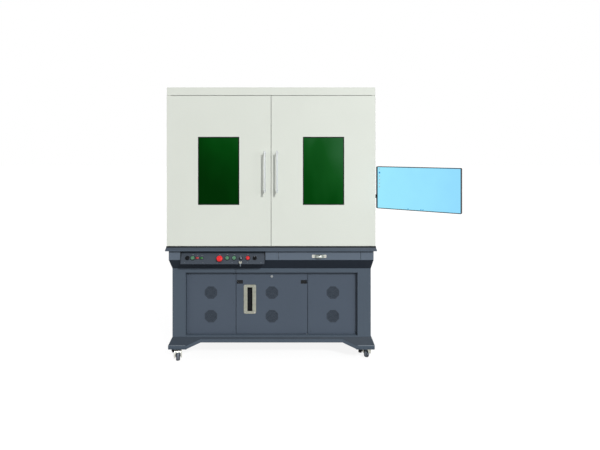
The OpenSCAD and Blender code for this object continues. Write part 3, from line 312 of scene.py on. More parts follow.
cream = powder_coat("cream_paint", (219, 223, 214), 0.42, 1300.0, 0.2, 0.012, 0.4)
slate = powder_coat("slate_paint", (74, 85, 97), 0.5)
fascia_slate = powder_coat("fascia_paint", (92, 103, 116), 0.5)
panel_slate = powder_coat("panel_paint", (74, 84, 97), 0.52)
dark_slate = powder_coat("console_paint", (54, 62, 72), 0.5, 1200.0, 0.3)
# Darker copies of the slate for the faces that slope up on the deck and the skirt: painted shade.
slope_shade_slate = powder_coat("slope_painted_shade", (64, 73, 84), 0.55, drift=0.04, gloss=0.2)
foot_shade_slate = powder_coat("foot_painted_shade", (47, 56, 66), 0.55, drift=0.04, gloss=0.2)
# A much darker slate for the undercut below the fascia: painted shade.
cove_shade_slate = powder_coat("cove_painted_shade", (38, 45, 55), 0.6, drift=0.05, gloss=0.12)
# A paler slate for the bends of the skirt's lip at the feet: a painted highlight.
ridge_highlight_slate = powder_coat("ridge_painted_highlight", (116, 124, 132), 0.45, 900.0, 0.3, 0.16)
handle_metal = brushed("handle_metal", (205, 208, 208), 0.34, "z")
bezel_metal = brushed("bezel_metal", (190, 193, 194), 0.26, "x")
key_metal = brushed("key_metal", (112, 120, 128), 0.36, "z")
plug_metal = brushed("plug_metal", (150, 154, 155), 0.34, "x")
ground_steel = brushed("ground_steel", (176, 179, 180), 0.3, "x")
rail_steel = brushed("rail_steel", (186, 188, 190), 0.25, "z")
slide_steel = brushed("slide_steel", (180, 182, 184), 0.32, "y")
zinc = zinc_plate("zinc_plate", (214, 214, 204))
plate_zinc = zinc_plate("pull_zinc", (160, 161, 148), 0.45)
pull_metal = zinc_plate("drawer_pull_metal", (158, 164, 158), 0.45)
black = moulded("black_plastic", (24, 26, 29), 0.5)
knob_black = moulded("knob_black", (8, 10, 14), 0.5, gloss=0.08)
black_soft = moulded("black_matt", (22, 24, 27), 0.65, 1500.0, 0.3)
anodised = brushed("black_anodised", (52, 55, 60), 0.42, "x")
red_cap = moulded("red_plastic", (222, 34, 38), 0.34, 2600.0, 0.08, 0.1)
red_rocker_mat = moulded("red_rocker", (158, 46, 50), 0.45, 2600.0, 0.1)
green_rocker_mat = moulded("green_rocker", (30, 96, 42), 0.45, 2600.0, 0.1)
green_cap = lit_plastic("green_lens", (78, 126, 96), 0.03)
red_lens = lit_plastic("red_lens", (206, 36, 42), 0.04)
acrylic = safety_acrylic("window_acrylic")
grille_paint = powder_coat("grille_paint", (56, 64, 74), 0.5, 1200.0, 0.3, 0.04)
tyre_black = rubber("tyre_rubber", (38, 42, 50))
tread_grey = rubber("tread_pale_band", (104, 110, 118), 0.7)
gasket_black = rubber("gasket_rubber", (20, 22, 24), 0.6)
hub_grey = moulded("hub_grey", (150, 158, 168), 0.4, 1600.0, 0.15)
box_grey = powder_coat("box_paint", (120, 126, 132), 0.5, 1400.0, 0.25)
case_black = moulded("monitor_shell", (34, 35, 40), 0.4, 2400.0, 0.25)
spare_metal = brushed("spare_key_metal", (168, 168, 158), 0.38, "z")
ring_steel = brushed("key_ring_steel", (74, 80, 88), 0.4, "z")


def screen_material():
    """A lit display: a pale blue desktop whose tone drifts across it."""
    p = Paint("display", Roughness=0.25, Specular_IOR_Level=0.4, Emission_Strength=0.94)
    p.shader.inputs["Base Color"].default_value = (0.02, 0.03, 0.04, 1)
    low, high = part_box("monitor_screen")
    drift = p.plus(p.span(p.axes()["X"], 0.0, 0.9, low.x, high.x), p.span(p.noise(9.0), -0.12, 0.12))
    p.to("Emission Color", p.ramp(drift, (0.1, srgb(150, 232, 254)), (0.9, srgb(141, 220, 254))))
    return p.material


screen_glow = screen_material()


def dress(nodes, material, *rules):
    """Gives CAD nodes their material. A rule is (test, material), for faces whose middle and normal pass."""
    for node in nodes.split():
        mesh = NODES[node].data
        mesh.materials.clear()
        for each in (material, *(other for _, other in rules)):
            mesh.materials.append(each)
        for face in mesh.polygons:
            passed = (i for i, (test, _) in enumerate(rules, 1) if test(face.center, face.normal))
            face.material_index = next(passed, 0)


# Heights and reaches in metres that tell one part of a node from another.
COVE_TOP = 0.66
RING_FOOT, BLADE_TOP = 0.648, 0.632
SOCKET_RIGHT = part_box("button_bezels")[0].x + 0.026
BOW_HALF = 0.03
POCKET_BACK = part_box("pull_plate")[0].y + 0.0035
FANS_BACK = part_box("electronics")[0].y + 0.026
HUB_R, BAND_HALF, BAND_R = 0.0185, 0.006, 0.029
PULL_X = middle("drawer_pull").x


def sloping(_, normal):
    return 0.12 < normal.z < 0.8


dress("top_cover side_panels back_panel left_door right_door", cream)
# Faces that slope up take the darker slope paints: painted shade on the upper side of these parts.
dress("table_deck", slate, (sloping, slope_shade_slate))
dress("plinth", slate, (sloping, foot_shade_slate))
dress("front_frame base_walls", slate)
# The apron's low downward faces take the cove paint: painted shade under the fascia.
dress("apron", fascia_slate, (lambda c, normal: normal.z < -0.2 and c.z < COVE_TOP, cove_shade_slate))
dress("drawer", fascia_slate)
dress("vent_panels access_door", panel_slate)
dress("left_handle right_handle", handle_metal)
dress("left_window right_window", acrylic)
dress("work_table", ground_steel)
dress("z_column lead_screw", rail_steel)
dress("scan_lens", black)
dress("drawer_slides", slide_steel)
dress("drawer_pull", zinc, (lambda c, _: abs(c.x - PULL_X) < BOW_HALF, pull_metal))
dress("control_console", dark_slate)
dress("button_bezels", black, (lambda c, _: c.x < SOCKET_RIGHT, knob_black))
dress("estop_button", red_cap)
dress("lamp_button start_button focus_button", green_cap)
dress("stop_button", red_lens)
dress("red_rocker", red_rocker_mat)
dress("green_rocker", green_rocker_mat)
dress("key", key_metal)
ring, blade = (lambda c, _: c.z > RING_FOOT, ring_steel), (lambda c, _: c.z < BLADE_TOP, key_metal)
dress("key_tag", spare_metal, ring, blade)
dress("selector_knob", knob_black)
dress("panel_grilles door_grilles", grille_paint)
dress("pull_plate", plate_zinc, (lambda c, _: c.y > POCKET_BACK, black_soft))
dress("lock_plug", plug_metal)
dress("left_latch right_latch left_brake right_brake", black)
dress("door_pivots rear_forks left_fork right_fork", zinc)
dress("electronics", box_grey, (lambda c, _: c.y < FANS_BACK, black))
dress("arm_bracket lower_arm upper_arm monitor_head z_carriage scan_head", anodised)
dress("monitor_case", case_black)
dress("monitor_screen", screen_glow)

# Each wheel, with the body its fork is on and how far its axle is turned about the upright.
WHEELS = {"front_left_wheel": ("left_caster", 15.0), "front_right_wheel": ("right_caster", 158.0)}
WHEELS |= {"rear_left_wheel": ("machine", 0.0), "rear_right_wheel": ("machine", 0.0)}


def heading(degrees):
    """The level direction at an angle from the cabinet's X."""
    return Vector((cos(radians(degrees)), sin(radians(degrees)), 0))


def wheel_part(node, turn):
    """Tests for a wheel's hub and for the pale band round its tread, by where they are on the axle."""
    axle, way = middle(node), heading(turn)

    def from_axle(c):
        along = (c - axle).dot(way)
        return along, (c - axle - way * along).length

    def hub(c, _):
        return from_axle(c)[1] < HUB_R

    def band(c, _):
        along, out = from_axle(c)
        return abs(along) < BAND_HALF and out > BAND_R

    return hub, band


for wheel, (_, turn) in WHEELS.items():
    on_hub, on_band = wheel_part(wheel, turn)
    dress(wheel, tyre_black, (on_hub, hub_grey), (on_band, tread_grey))

# -------- tools for small pieces


def facing(origin, normal=(0, -1, 0), up=(0, 0, 1)):
    """A frame at a place, in millimetres: Z stands out of the surface, and Y is the way nearest to up."""
    z = Vector(normal).normalized()
    x = Vector(up).cross(z).normalized()
    m = Matrix((x, z.cross(x), z)).transposed().to_4x4()
    m.translation = origin
    return m @ Matrix.Scale(0.001, 4)


def turned(frame, degrees, axis="Z"):
    """A frame turned about one of its own axes."""
    return frame @ Matrix.Rotation(radians(degrees), 4, axis)


def hexagon(k, n):
    """A hexagon's reach at step k of n, where its corners' is 1."""
    turn = (2 * pi * k / n) % (pi / 3) - pi / 6
    return cos(pi / 6) / cos(turn)


def cross(k, n):
    """A cross recess's reach at step k of n: four arms, and a narrow waist between them."""
    return 1.0 if (8 * k // n) % 2 == 0 and k % (n // 4) < 2 else 0.42


def bridge(bm, low, high):
    """Joins two rings of the same count with four-sided faces."""
    for k in range(len(low)):
        m = (k + 1) % len(low)
        bm.faces.new((low[k], low[m], high[m], high[k]))


def solid(bm, rows):
    """Joins rings of the same count in their order, and closes both ends."""
    for low, high in zip(rows, rows[1:]):
        bridge(bm, low, high)
    bm.faces.new(rows[0][::-1])
    bm.faces.new(rows[-1])


def lathe(bm, frame, profile, n=24, shape=None):
    """Turns (radius, height) points round the frame's Z. A ring marked True takes the shape, not a circle."""
    rings = []
    for r, h, *shaped in profile:
        ring = []
        for k in range(n if r else 1):
            a = 2 * pi * k / n
            q = r * (shape(k, n) if shaped else 1)
            ring.append(bm.verts.new(frame @ Vector((q * cos(a), q * sin(a), h))))
        rings.append(ring)
    for low, high in zip(rings, rings[1:]):
        if len(low) == len(high):
            if len(low) > 1:
                bridge(bm, low, high)
            continue
        for k in range(n):
            m = (k + 1) % n
            if len(low) == 1:
                bm.faces.new((low[0], high[m], high[k]))
            else:
                bm.faces.new((low[k], low[m], high[0]))


def slab(bm, frame, low, high, edge=0.0):
    """A block in a frame's millimetres, with its edges taken off."""
    low, high = Vector(low), Vector(high)
    place = frame @ Matrix.Translation((low + high) / 2) @ Matrix.Diagonal((*(high - low), 1))
    made = bmesh.ops.create_cube(bm, size=1, matrix=place)
    if edge:
        edges = list(dict.fromkeys(e for v in made["verts"] for e in v.link_edges))
        bmesh.ops.bevel(bm, geom=edges, offset=edge / 1000, segments=2, affect="EDGES", profile=0.5)


def ring_of(w, h, r):
    """A rectangle with round corners, as points: each corner has a quarter circle of six steps."""
    out, n = [], 6
    x, y = w / 2 - r, h / 2 - r
    for cx, cy, start in ((x, y, 0), (-x, y, 90), (-x, -y, 180), (x, -y, 270)):
        for i in range(n + 1):
            a = radians(start + 90 * i / n)
            out.append((cx + r * cos(a), cy + r * sin(a)))
    return out


def stack(bm, frame, rings):
    """A block of outlines of the same count, each (points, height)."""
    solid(bm, [[bm.verts.new(frame @ Vector((x, y, h))) for x, y in points] for points, h in rings])


def trim(bm, frame, w, h, width, rise, r, soft=0.8):
    """A strip round an opening: its section is a soft-edged rectangle."""

    def inset(d):
        return ring_of(w - 2 * d, h - 2 * d, max(r - d, 1.0) if d else r)

    section = [(0, 0), (0, rise - soft), (soft, rise), (width - soft, rise), (width, rise - soft), (width, 0)]
    rows = [[bm.verts.new(frame @ Vector((x, y, h))) for x, y in inset(d)] for d, h in section]
    for low, high in zip(rows, rows[1:] + rows[:1]):
        bridge(bm, low, high)


def plate(bm, frame, w, h, rise, r, soft=0.6):
    """A flat plate with round corners and a softened rim."""
    rim, top = ring_of(w, h, r), ring_of(w - 2 * soft, h - 2 * soft, max(r - soft, 0.5))
    stack(bm, frame, [(rim, 0), (rim, rise - soft), (top, rise)])


def button_screw(bm, frame, r, t):
    """A low domed head with a hexagon socket."""
    socket = [(0, t * 0.35), (r * 0.42, t * 0.35, True), (r * 0.45, t * 0.96, True)]
    dome = [(r * 0.62, t), (r * 0.88, t * 0.72), (r, t * 0.25), (r, 0), (0, 0)]
    lathe(bm, frame, socket + dome, 24, hexagon)


def cross_screw(bm, frame, r, t):
    """A pan head with a cross recess."""
    recess = [(0, t * 0.2), (r * 0.5, t * 0.55, True), (r * 0.56, t * 0.97, True)]
    lathe(bm, frame, recess + [(r * 0.75, t * 0.9), (r, t * 0.35), (r, 0), (0, 0)], 24, cross)


def cap_screw(bm, frame, r, t):
    """A straight-sided head with a hexagon socket."""
    socket = [(0, t * 0.4), (r * 0.52, t * 0.4, True), (r * 0.55, t, True)]
    lathe(bm, frame, socket + [(r * 0.9, t), (r, t * 0.88), (r, 0), (0, 0)], 24, hexagon)


def hex_bolt(bm, frame, r, t):
    """A six-sided head on a washer."""
    head = [(0, t), (r * 0.86, t), (r, t * 0.84, True), (r, t * 0.22, True)]
    lathe(bm, frame, head + [(r * 1.3, t * 0.22), (r * 1.3, 0), (0, 0)], 24, hexagon)


def ribbon(bm, frame, path, width, thick):
    """A flat strip that follows a path, lying across the frame's Y."""
    points = [Vector(q) for q in path]
    rows = []
    for k, point in enumerate(points):
        ahead = points[min(k + 1, len(points) - 1)] - points[max(k - 1, 0)]
        across = ahead.cross(Vector((0, 1, 0))).normalized() * (width / 2)
        deep = Vector((0, thick / 2, 0))
        soft = across * 0.75
        ring = (-across, -soft - deep, soft - deep, across, soft + deep, deep - soft)
        rows.append([bm.verts.new(frame @ (point + q)) for q in ring])
    solid(bm, rows)


def piece(name, body, material, build, frames=None, *sizes, smooth=True):
    """A named piece on a CAD body. Its build step runs once, or with the sizes in each of the frames."""
    bm = bmesh.new()
    if frames is None:
        build(bm)
    else:
        for frame in frames:
            build(bm, frame, *sizes)
    bmesh.ops.recalc_face_normals(bm, faces=bm.faces)
    mesh = bpy.data.meshes.new(name)
    bm.to_mesh(mesh)
    bm.free()
    mesh.materials.append(material)
    if smooth:
        for face in mesh.polygons:
            face.use_smooth = True
        mesh.set_sharp_from_angle(angle=radians(35))
    obj = new_object(name, mesh)
    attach(obj, body)


FRONT, BACK, RIGHT, UP, DOWN = (0, -1, 0), (0, 1, 0), (1, 0, 0), (0, 0, 1), (0, 0, -1)
SIDES = (-1, 1)

screw_black = moulded("screw_black", (26, 27, 29), 0.35)
screw_zinc = zinc_plate("screw_zinc", (200, 200, 194), 0.3)
screw_dull = zinc_plate("screw_dull", (104, 110, 118), 0.42)
print_white = moulded("print_white", (150, 156, 162), 0.6, 900.0, 0.05)
# A darker copy of the stop's red for its ridges: painted shade that makes them read as raised.
stop_ridge_shade_red = moulded("stop_ridge_shade_red", (190, 24, 30), 0.35, 2600.0, 0.08, 0.3)
print_dark = moulded("print_dark", (96, 104, 112), 0.6, 900.0, 0.05)
filter_foam = rubber("filter_foam", (58, 66, 76), 0.9)
brass = brushed("brass", (190, 156, 92), 0.3, "y")
lamp_diffuser = lit_plastic("lamp_diffuser", (236, 240, 244), 0.5)
lens_glass = moulded("lens_glass", (40, 22, 66), 0.06, 400.0, 0.01, 1.0)
standby = lit_plastic("standby_light", (60, 120, 220), 1.2)

# -------- doors

DOOR_BACK = MID_Y - 0.434
LAP = 20.0  # how much wider and taller a pane is than the opening it closes
# In metres: a handle's posts from its ends, its axis from its front, and how deep its caps sit.
POST_IN, BAR_IN, SUNK = 0.012, 0.006, 0.0004

for door in ("left_door", "right_door"):
    window, handle = door.replace("door", "window"), door.replace("door", "handle")
    pane = middle(window)
    low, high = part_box(window)
    w, h = (high.x - low.x) * 1000 - LAP, (high.z - low.z) * 1000 - LAP
    rim = facing((pane.x, low.y, pane.z))
    seat = facing((pane.x, high.y, pane.z), BACK)
    piece(door + "_gasket", door, gasket_black, trim, [rim], w - 0.4, h - 0.4, 5.0, 2.6, 3.0)
    inside = Vector((pane.x, DOOR_BACK, pane.z))
    screw_w, screw_h = w + LAP + 16, h + LAP + 16
    holes = [(x, z) for x in (-0.5, 0.5) for z in (-0.5, -0.17, 0.17, 0.5)] + [(0, -0.5), (0, 0.5)]
    screws = [facing(inside + Vector((x * screw_w, 0, z * screw_h)) / 1000, BACK) for x, z in holes]
    piece(door + "_frame_screws", door, screw_zinc, cross_screw, screws, 4.0, 2.4)
    piece(door + "_inner_seal", door, gasket_black, trim, [seat], w + 18, h + 18, 7.0, 2.2, 3.0)
    grip = middle(handle)
    low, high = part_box(handle)
    plugs = [facing((grip.x, low.y + 0.0005, z)) for z in (low.z + POST_IN, high.z - POST_IN)]
    piece(door + "_handle_plugs", door, bezel_metal, button_screw, plugs, 3.0, 0.9)
    ends = [(Vector((grip.x, low.y + BAR_IN, z)), n) for z, n in ((low.z, DOWN), (high.z, UP))]
    ends = [facing(p - Vector(n) * SUNK, n, FRONT) for p, n in ends]
    cap = [(0, 1.8), (3.2, 1.6), (5.2, 0.9), (5.8, 0), (0, 0)]
    piece(door + "_handle_ends", door, bezel_metal, lathe, ends, cap)

# -------- console

console_low, console_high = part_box("control_console")
APRON_Y = y_of(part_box("apron")[0])
LEAN = radians(28)
FACE_OUT = Vector((0, -cos(LEAN), sin(LEAN)))
FACE_UP = Vector((0, sin(LEAN), cos(LEAN)))
FACE_Z = (console_low.z + console_high.z) / 2
FACE_Y = console_low.y + (FACE_Z - console_low.z) * tan(LEAN)
ROW, STOP_ROW = -5, -12  # how far up the face, from its middle, the controls and the emergency stop lie


def on_console(x, up):
    """A frame on the console's sloping face: x in the cabinet's millimetres, up along the face."""
    return facing(Vector((MID_X + x / 1000, FACE_Y, FACE_Z)) + FACE_UP * (up / 1000), FACE_OUT, FACE_UP)


def control(node, up=ROW):
    """A frame on the face in line with one of its controls."""
    return on_console(x_of(middle(node)), up)


fascia = [on_console(x, -34) for x in (-535, -422, -331, -241, -146, -62)]
piece("console_screws", "machine", screw_dull, cross_screw, fascia, 2.8, 1.5)


def end_shade_strips(bm):
    """Black edge strips at both ends of the console: painted shade in the gaps there."""
    for end, s in ((console_high, 1), (console_low, -1)):
        low, high = sorted((x_of(end), x_of(end) + 5.5 * s))
        slab(bm, facing(at(0, APRON_Y, 674)), (low, -27, -1), (high, 29, 3.2), 1.2)


# Dark strips as painted shade at the console's ends.
piece("console_end_shade_strips", "machine", gasket_black, end_shade_strips)


def console_print(bm):
    """Ticks and bars printed over the controls, with no word among them."""
    bars = {"lamp_button": 9, "estop_button": 12, "start_button": 10, "focus_button": 10, "stop_button": 8}
    for node, w in bars.items():
        slab(bm, control(node, 17.5), (-w / 2, -0.7, 0), (w / 2, 0.7, 0.12))
    for node in ("red_rocker", "green_rocker"):
        slab(bm, control(node, 12), (-3.5, -0.6, 0), (3.5, 0.6, 0.12))
    for node, turns, near, far in (("selector_knob", (90, 60, 30), 15.5, 19), ("key", (90, 30), 13.5, 16.5)):
        for turn in turns:
            slab(bm, turned(control(node), turn), (near, -0.5, 0), (far, 0.5, 0.12))


piece("console_print", "machine", print_white, console_print, smooth=False)
dial, line = [control("selector_knob")], ((-0.7, 1.5, 15.9), (0.7, 8.5, 16.25))
piece("selector_pointer", "selector_knob", print_white, slab, dial, *line, smooth=False)


def socket_cap(bm):
    """The cap of the service socket: a knurled rim, a low boss and a grip bar across it."""
    f = on_console(x_of(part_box("button_bezels")[0]) + 12, ROW)
    for k in range(24):
        slab(bm, turned(f, 15 * k), (11.2, -0.8, 1.5), (12.5, 0.8, 8.6))
    lathe(bm, f, [(0, 9.6), (5.5, 9.6), (6.4, 9.2), (8.6, 9.05), (8.6, 8.6), (0, 8.6)])
    slab(bm, f, (-1.1, -5.2, 9.4), (1.1, 5.2, 10.4), 0.4)


piece("socket_cap", "machine", knob_black, socket_cap)


def stop_arrows(bm):
    """Turn marks on the emergency stop: three curved ridges."""
    f = control("estop_button", STOP_ROW)
    for j in range(3):
        for k in range(5):
            half = 0.5 + 0.25 * (k == 3)
            slab(bm, turned(f, 120 * j + 11 * k), (9.6 - half, -1.2, 20.4), (9.6 + half, 1.2, 21.7))


# The ridges take the darker red: painted shade.
piece("stop_head_marks", "estop_button", stop_ridge_shade_red, stop_arrows, smooth=False)
collar = [(10.6, 2.9), (14.2, 2.9), (14.4, 3.2), (13.4, 3.8), (10.6, 3.8), (10.6, 2.9)]
piece("stop_head_collar", "machine", black, lathe, [control("estop_button", STOP_ROW)], collar, 40)
bead = [(7.9, 7.6), (9.0, 7.5), (9.2, 7.9), (8.6, 8.25), (8.0, 8.1), (7.9, 7.6)]
for node in ("lamp_button", "start_button", "focus_button", "stop_button"):
    lens = red_lens if node == "stop_button" else green_cap
    piece(node + "_rings", node, lens, lathe, [control(node)], bead, 40)

# -------- lower front

PANEL_Y = y_of(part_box("vent_panels")[0])
GUARD_HALF, FINGER_IN = 43, 0.0182  # half a guard's width, and a latch's pad from its inner end
grille_low, grille_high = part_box("panel_grilles")
guard_z = (grille_low.z * 1000 + GUARD_HALF, grille_high.z * 1000 - GUARD_HALF)
guard_x = x_of(grille_high) - GUARD_HALF


def octagon(size):
    """An eight-sided outline that measures size between its flats."""
    r = size / 2 / cos(pi / 8)
    turns = [radians(22.5 + 45 * k) for k in range(8)]
    return [(r * cos(a), r * sin(a)) for a in turns]


foam = [(octagon(90), 0), (octagon(90), 0.8), (octagon(88), 1.1)]
filters = {"panel_filters": ("machine", (-guard_x, guard_x)), "door_filters": ("access_door", (0,))}
for name, (body, xs) in filters.items():
    pads = [facing(at(x, y_of(grille_high) + 1, z)) for x in xs for z in guard_z]
    piece(name, body, filter_foam, stack, pads, foam, smooth=False)
fixed = [facing(at(x * s, PANEL_Y, z)) for s in SIDES for x in (247, 530) for z in (178, 358, 538)]
piece("panel_screws", "machine", slate, button_screw, fixed, 4.2, 1.8)
pull = middle("pull_plate")
pull_low, pull_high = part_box("pull_plate")
corners = [(x, z) for x in (-31, 31) for z in (-84.5, 84.5)]
corners = [facing((pull.x + x / 1000, pull_low.y, pull.z + z / 1000)) for x, z in corners]
piece("pull_screws", "access_door", screw_zinc, cross_screw, corners, 2.8, 0.9)


def pull_liner(bm):
    """A ribbed black liner in the cup pull, and the trim round the cup's mouth."""
    f = facing((pull.x, pull_high.y - 0.0021, pull.z))
    for k in range(13):
        slab(bm, f, (-14.5, -70 + k * 11.2, 0), (14.5, -65.5 + k * 11.2, 3.4), 0.8)
    trim(bm, facing((pull.x, pull_low.y + 0.0006, pull.z)), 31.8, 151.8, 2.2, 1.0, 2.0, 0.5)


piece("pull_liner", "access_door", black_soft, pull_liner)


def finger_pad(bm, frame):
    """A latch's raised pad, with a thin rim round it."""
    plate(bm, frame, 14, 12, 0.7, 1.6, 0.4)
    trim(bm, frame, 29, 21, 1.6, 0.4, 1.6, 0.2)


for latch, s in (("left_latch", -1), ("right_latch", 1)):
    low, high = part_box(latch)
    inner = high.x if s < 0 else low.x
    spot = facing((inner + s * FINGER_IN, low.y, (low.z + high.z) / 2))
    piece(latch + "_button", latch, black_soft, finger_pad, [spot])

# -------- body sheets


def run(bm, path, section):
    """A strip along a path of (x, y, out_x, out_y), with a section of (out, z)."""
    rows = []
    for x, y, out_x, out_y in path:
        rows.append([bm.verts.new(at(x + out_x * d, y + out_y * d, z)) for d, z in section])
    solid(bm, rows)


def deck_gap_shade_strip(bm):
    """A black lip along the deck's top edge, in the gap under the doors: painted shade that darkens that gap.
    """
    x, front, back = HALF_WIDTH + 1, -HALF_DEPTH - 1, HALF_DEPTH - 1
    path = [(-x, back, -1, 0), (-x, front, -1, -1), (x, front, 1, -1), (x, back, 1, 0)]
    outside = [(1.2, 727.4), (2.6, 728.2), (1.4, 734.8), (0.2, 736.4)]
    run(bm, path, outside + [(-3.0, 736.4), (-3.0, 734.1), (-0.6, 734.1), (0.6, 730)])


# A dark strip as painted shade in the gap under the doors.
piece("deck_gap_shade_strip", "machine", gasket_black, deck_gap_shade_strip, smooth=False)
skirt_low, skirt_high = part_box("plinth")
PAD_REACH = 9.0  # how far the caster pads stand out past the skirt's lip, front and rear
FOOT, FOOT_TIP = 102, 114  # a foot's straight lip from the corner, and where the pale painted highlight ends


def skirt_beads(bm):
    """The bend over the skirt's lip at the four feet, paler than the slate: a painted highlight."""
    x = x_of(skirt_high)
    section = [(-0.6, 101.4), (0.3, 101.9), (0.55, 102.9), (0.1, 103.8)]
    section += [(-0.9, 104.8), (-1.4, 104.8), (-1.4, 101.4)]
    for s in SIDES:
        for y, t in ((y_of(skirt_low) + PAD_REACH, -1), (y_of(skirt_high) - PAD_REACH, 1)):
            path = [(s * (x - FOOT_TIP), y - t, 0, t), (s * (x - FOOT), y, 0, t), (s * x, y, s, t)]
            path += [(s * x, y - t * FOOT, s, 0), (s * (x - 1), y - t * FOOT_TIP, s, 0)]
            run(bm, path, section)


piece("skirt_beads", "machine", ridge_highlight_slate, skirt_beads)

SHEET_SCREW = (4.6, 2.2)  # a screw's radius and height
BETWEEN = (985, 1210, 1435)  # heights of the screws between a sheet's corners
walls = [(s, y, z) for s in SIDES for y in (-400, -130, 140, 425) for z in (760, 1650)]
walls += [(s, y, z) for s in SIDES for y in (-400, 425) for z in BETWEEN]
walls = [facing(at(s * HALF_WIDTH, y, z), (s, 0, 0)) for s, y, z in walls]
piece("side_screws", "machine", cream, button_screw, walls, *SHEET_SCREW)
rear = [(x, z) for x in (-610, -305, 0, 610) for z in (752, 1658)] + [(305, 752)]
rear += [(x, z) for x in (-610, 610) for z in BETWEEN]
rear = [facing(at(x, HALF_DEPTH, z), BACK) for x, z in rear]
piece("back_screws", "machine", cream, button_screw, rear, *SHEET_SCREW)
base_low, base_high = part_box("base_walls")
wall_y = y_of(base_high) - 3
low_back = [facing(at(x, wall_y, z), BACK) for x in (-600, -300, 0, 300, 600) for z in (168, 566)]
piece("base_back_screws", "machine", slate, button_screw, low_back, *SHEET_SCREW)
low_sides = [(s, y, z) for s in SIDES for y in (-330, -60, 210, 400) for z in (176, 558)]
wall_x = {-1: base_low.x, 1: base_high.x}
low_sides = [facing((wall_x[s], MID_Y + y / 1000, z / 1000), (s, 0, 0)) for s, y, z in low_sides]
piece("base_side_screws", "machine", slate, button_screw, low_sides, *SHEET_SCREW)


def duct_band(bm):
    """A clamp band on the exhaust collar, with its worm screw housing."""
    f = facing(at(350, 492, 1560), BACK)
    r = 50.2
    lathe(bm, f, [(r, 0), (r + 0.9, 0.3), (r + 0.9, 8.7), (r, 9), (r, 0)], 64)
    slab(bm, f, (r - 1, -7, -0.5), (r + 5.5, 7, 9.5), 0.8)


piece("duct_band", "machine", screw_zinc, duct_band)


def inlet_parts(bm):
    """Beside the power inlet: a rocker switch in its frame, a fuse cap and a cable gland."""
    switch, fuse, gland = (facing(at(x, wall_y, 230), BACK) for x in (468, 430, 392))
    plate(bm, switch, 30, 22, 2.0, 2.0)
    slab(bm, turned(switch, 7, "Y"), (-10.5, -7, 0.5), (10.5, 7, 4.6), 0.6)
    cap = [(0, 6.4), (3.4, 6.4), (4.4, 5.6), (7.2, 5.2), (7.6, 4.4), (7.6, 1.6), (9.2, 1.6), (9.2, 0), (0, 0)]
    lathe(bm, fuse, cap)
    nut = [(9.8, 8), (9.8, 2.4, True), (11.4, 2.4, True), (11.4, 0, True), (0, 0)]
    lathe(bm, gland, [(0, 16), (5.0, 16), (8.2, 13), (9.4, 8), *nut], 24, hexagon)


piece("inlet_parts", "machine", black, inlet_parts)
flange = [facing(at(x, wall_y + 3, 230), BACK) for x in (500.5, 539.5)]
piece("inlet_screws", "machine", screw_zinc, cross_screw, flange, 2.0, 1.1)

# -------- casters

# In metres: half an axle's length, where a hub's ribs start, how far the axle trails its pivot, and the
# heights of the swivel's race and of the underside of its plate.
AXLE_END, HUB_FACE, TRAIL, RACE_Z, PAD_Z = 0.0178, 0.0088, 0.026, 0.0765, 0.079


def hood(bm, frame):
    """A guard bent down from the fork's top over the front of the wheel, with its sides folded back."""
    path = [(-22, 72.0), (-33, 71.4), (-40.5, 69.2), (-45.4, 65.2), (-47.8, 59.6)]
    thin = [(0.0, -1.5), (0.3, -1.5), (0.9, -1.2), (1.3, -0.8), (1.5, -0.3)]
    rows = []
    for (y, z), (dy, dz) in zip(path, thin):
        out = [(x, y + 0.6 * fold, z - 0.5 * fold) for x, fold in ((-17.5, 1), (-12, 0), (12, 0), (17.5, 1))]
        under = [(x, q + dy, r + dz) for x, q, r in out[::-1]]
        rows.append([bm.verts.new(frame @ Vector(v)) for v in out + under])
    solid(bm, rows)


def fork_lips(bm, frame):
    """A fork's rolled edges, round its front and round its back: each is given from its foot to its top."""
    front = [(20, -37.2, 20), (20.4, -37.6, 34), (20.2, -37.6, 49), (19.6, -33.4, 58)]
    front += [(17.2, -29, 65), (12, -26.4, 69.4), (5, -26, 70.8)]
    back = [(16.1, -15.6, 31), (16.1, 1.5, 49), (16.1, 18.0, 65.6), (12.6, 19.2, 68.8)]
    for half, width, thick in ((front, 7.2, 2.6), (back, 3.2, 2.4)):
        ribbon(bm, frame, [(-x, y, z) for x, y, z in half] + half[::-1], width, thick)


def toe_pad(bm, frame, s):
    """A ribbed rubber toe pad on the end of a brake pedal."""
    tilt = turned(frame @ Matrix.Translation((s * 30.3, 8, 57)), -9, "X")
    slab(bm, tilt, (-10, -3, -9.5), (10, 25, 9.5), 2.4)
    for k in range(5):
        slab(bm, tilt, (-8.5, 3 + k * 4.4, 9.2), (8.5, 5.2 + k * 4.4, 10.6), 0.5)


def strut(bm, frame, s):
    """A pressed steel arm along the outside of a brake's lever, from the axle's end up to the pedal."""
    outline = [(-34, 30), (-31, 24), (-24, 23), (-19, 27), (-6, 42), (4, 50), (4, 57), (-4, 57), (-14, 50)]
    edge = [(-32.6, 30), (-30, 25.4), (-24.2, 24.4), (-20.2, 27.8), (-7.2, 43), (2.8, 50.8)]
    edge += [(2.8, 55.8), (-3.4, 55.8), (-12.8, 49)]
    layers = ((23.9, outline), (25.4, outline), (26.0, edge))
    solid(bm, [[bm.verts.new(frame @ Vector((s * x, y, z))) for y, z in shape] for x, shape in layers])


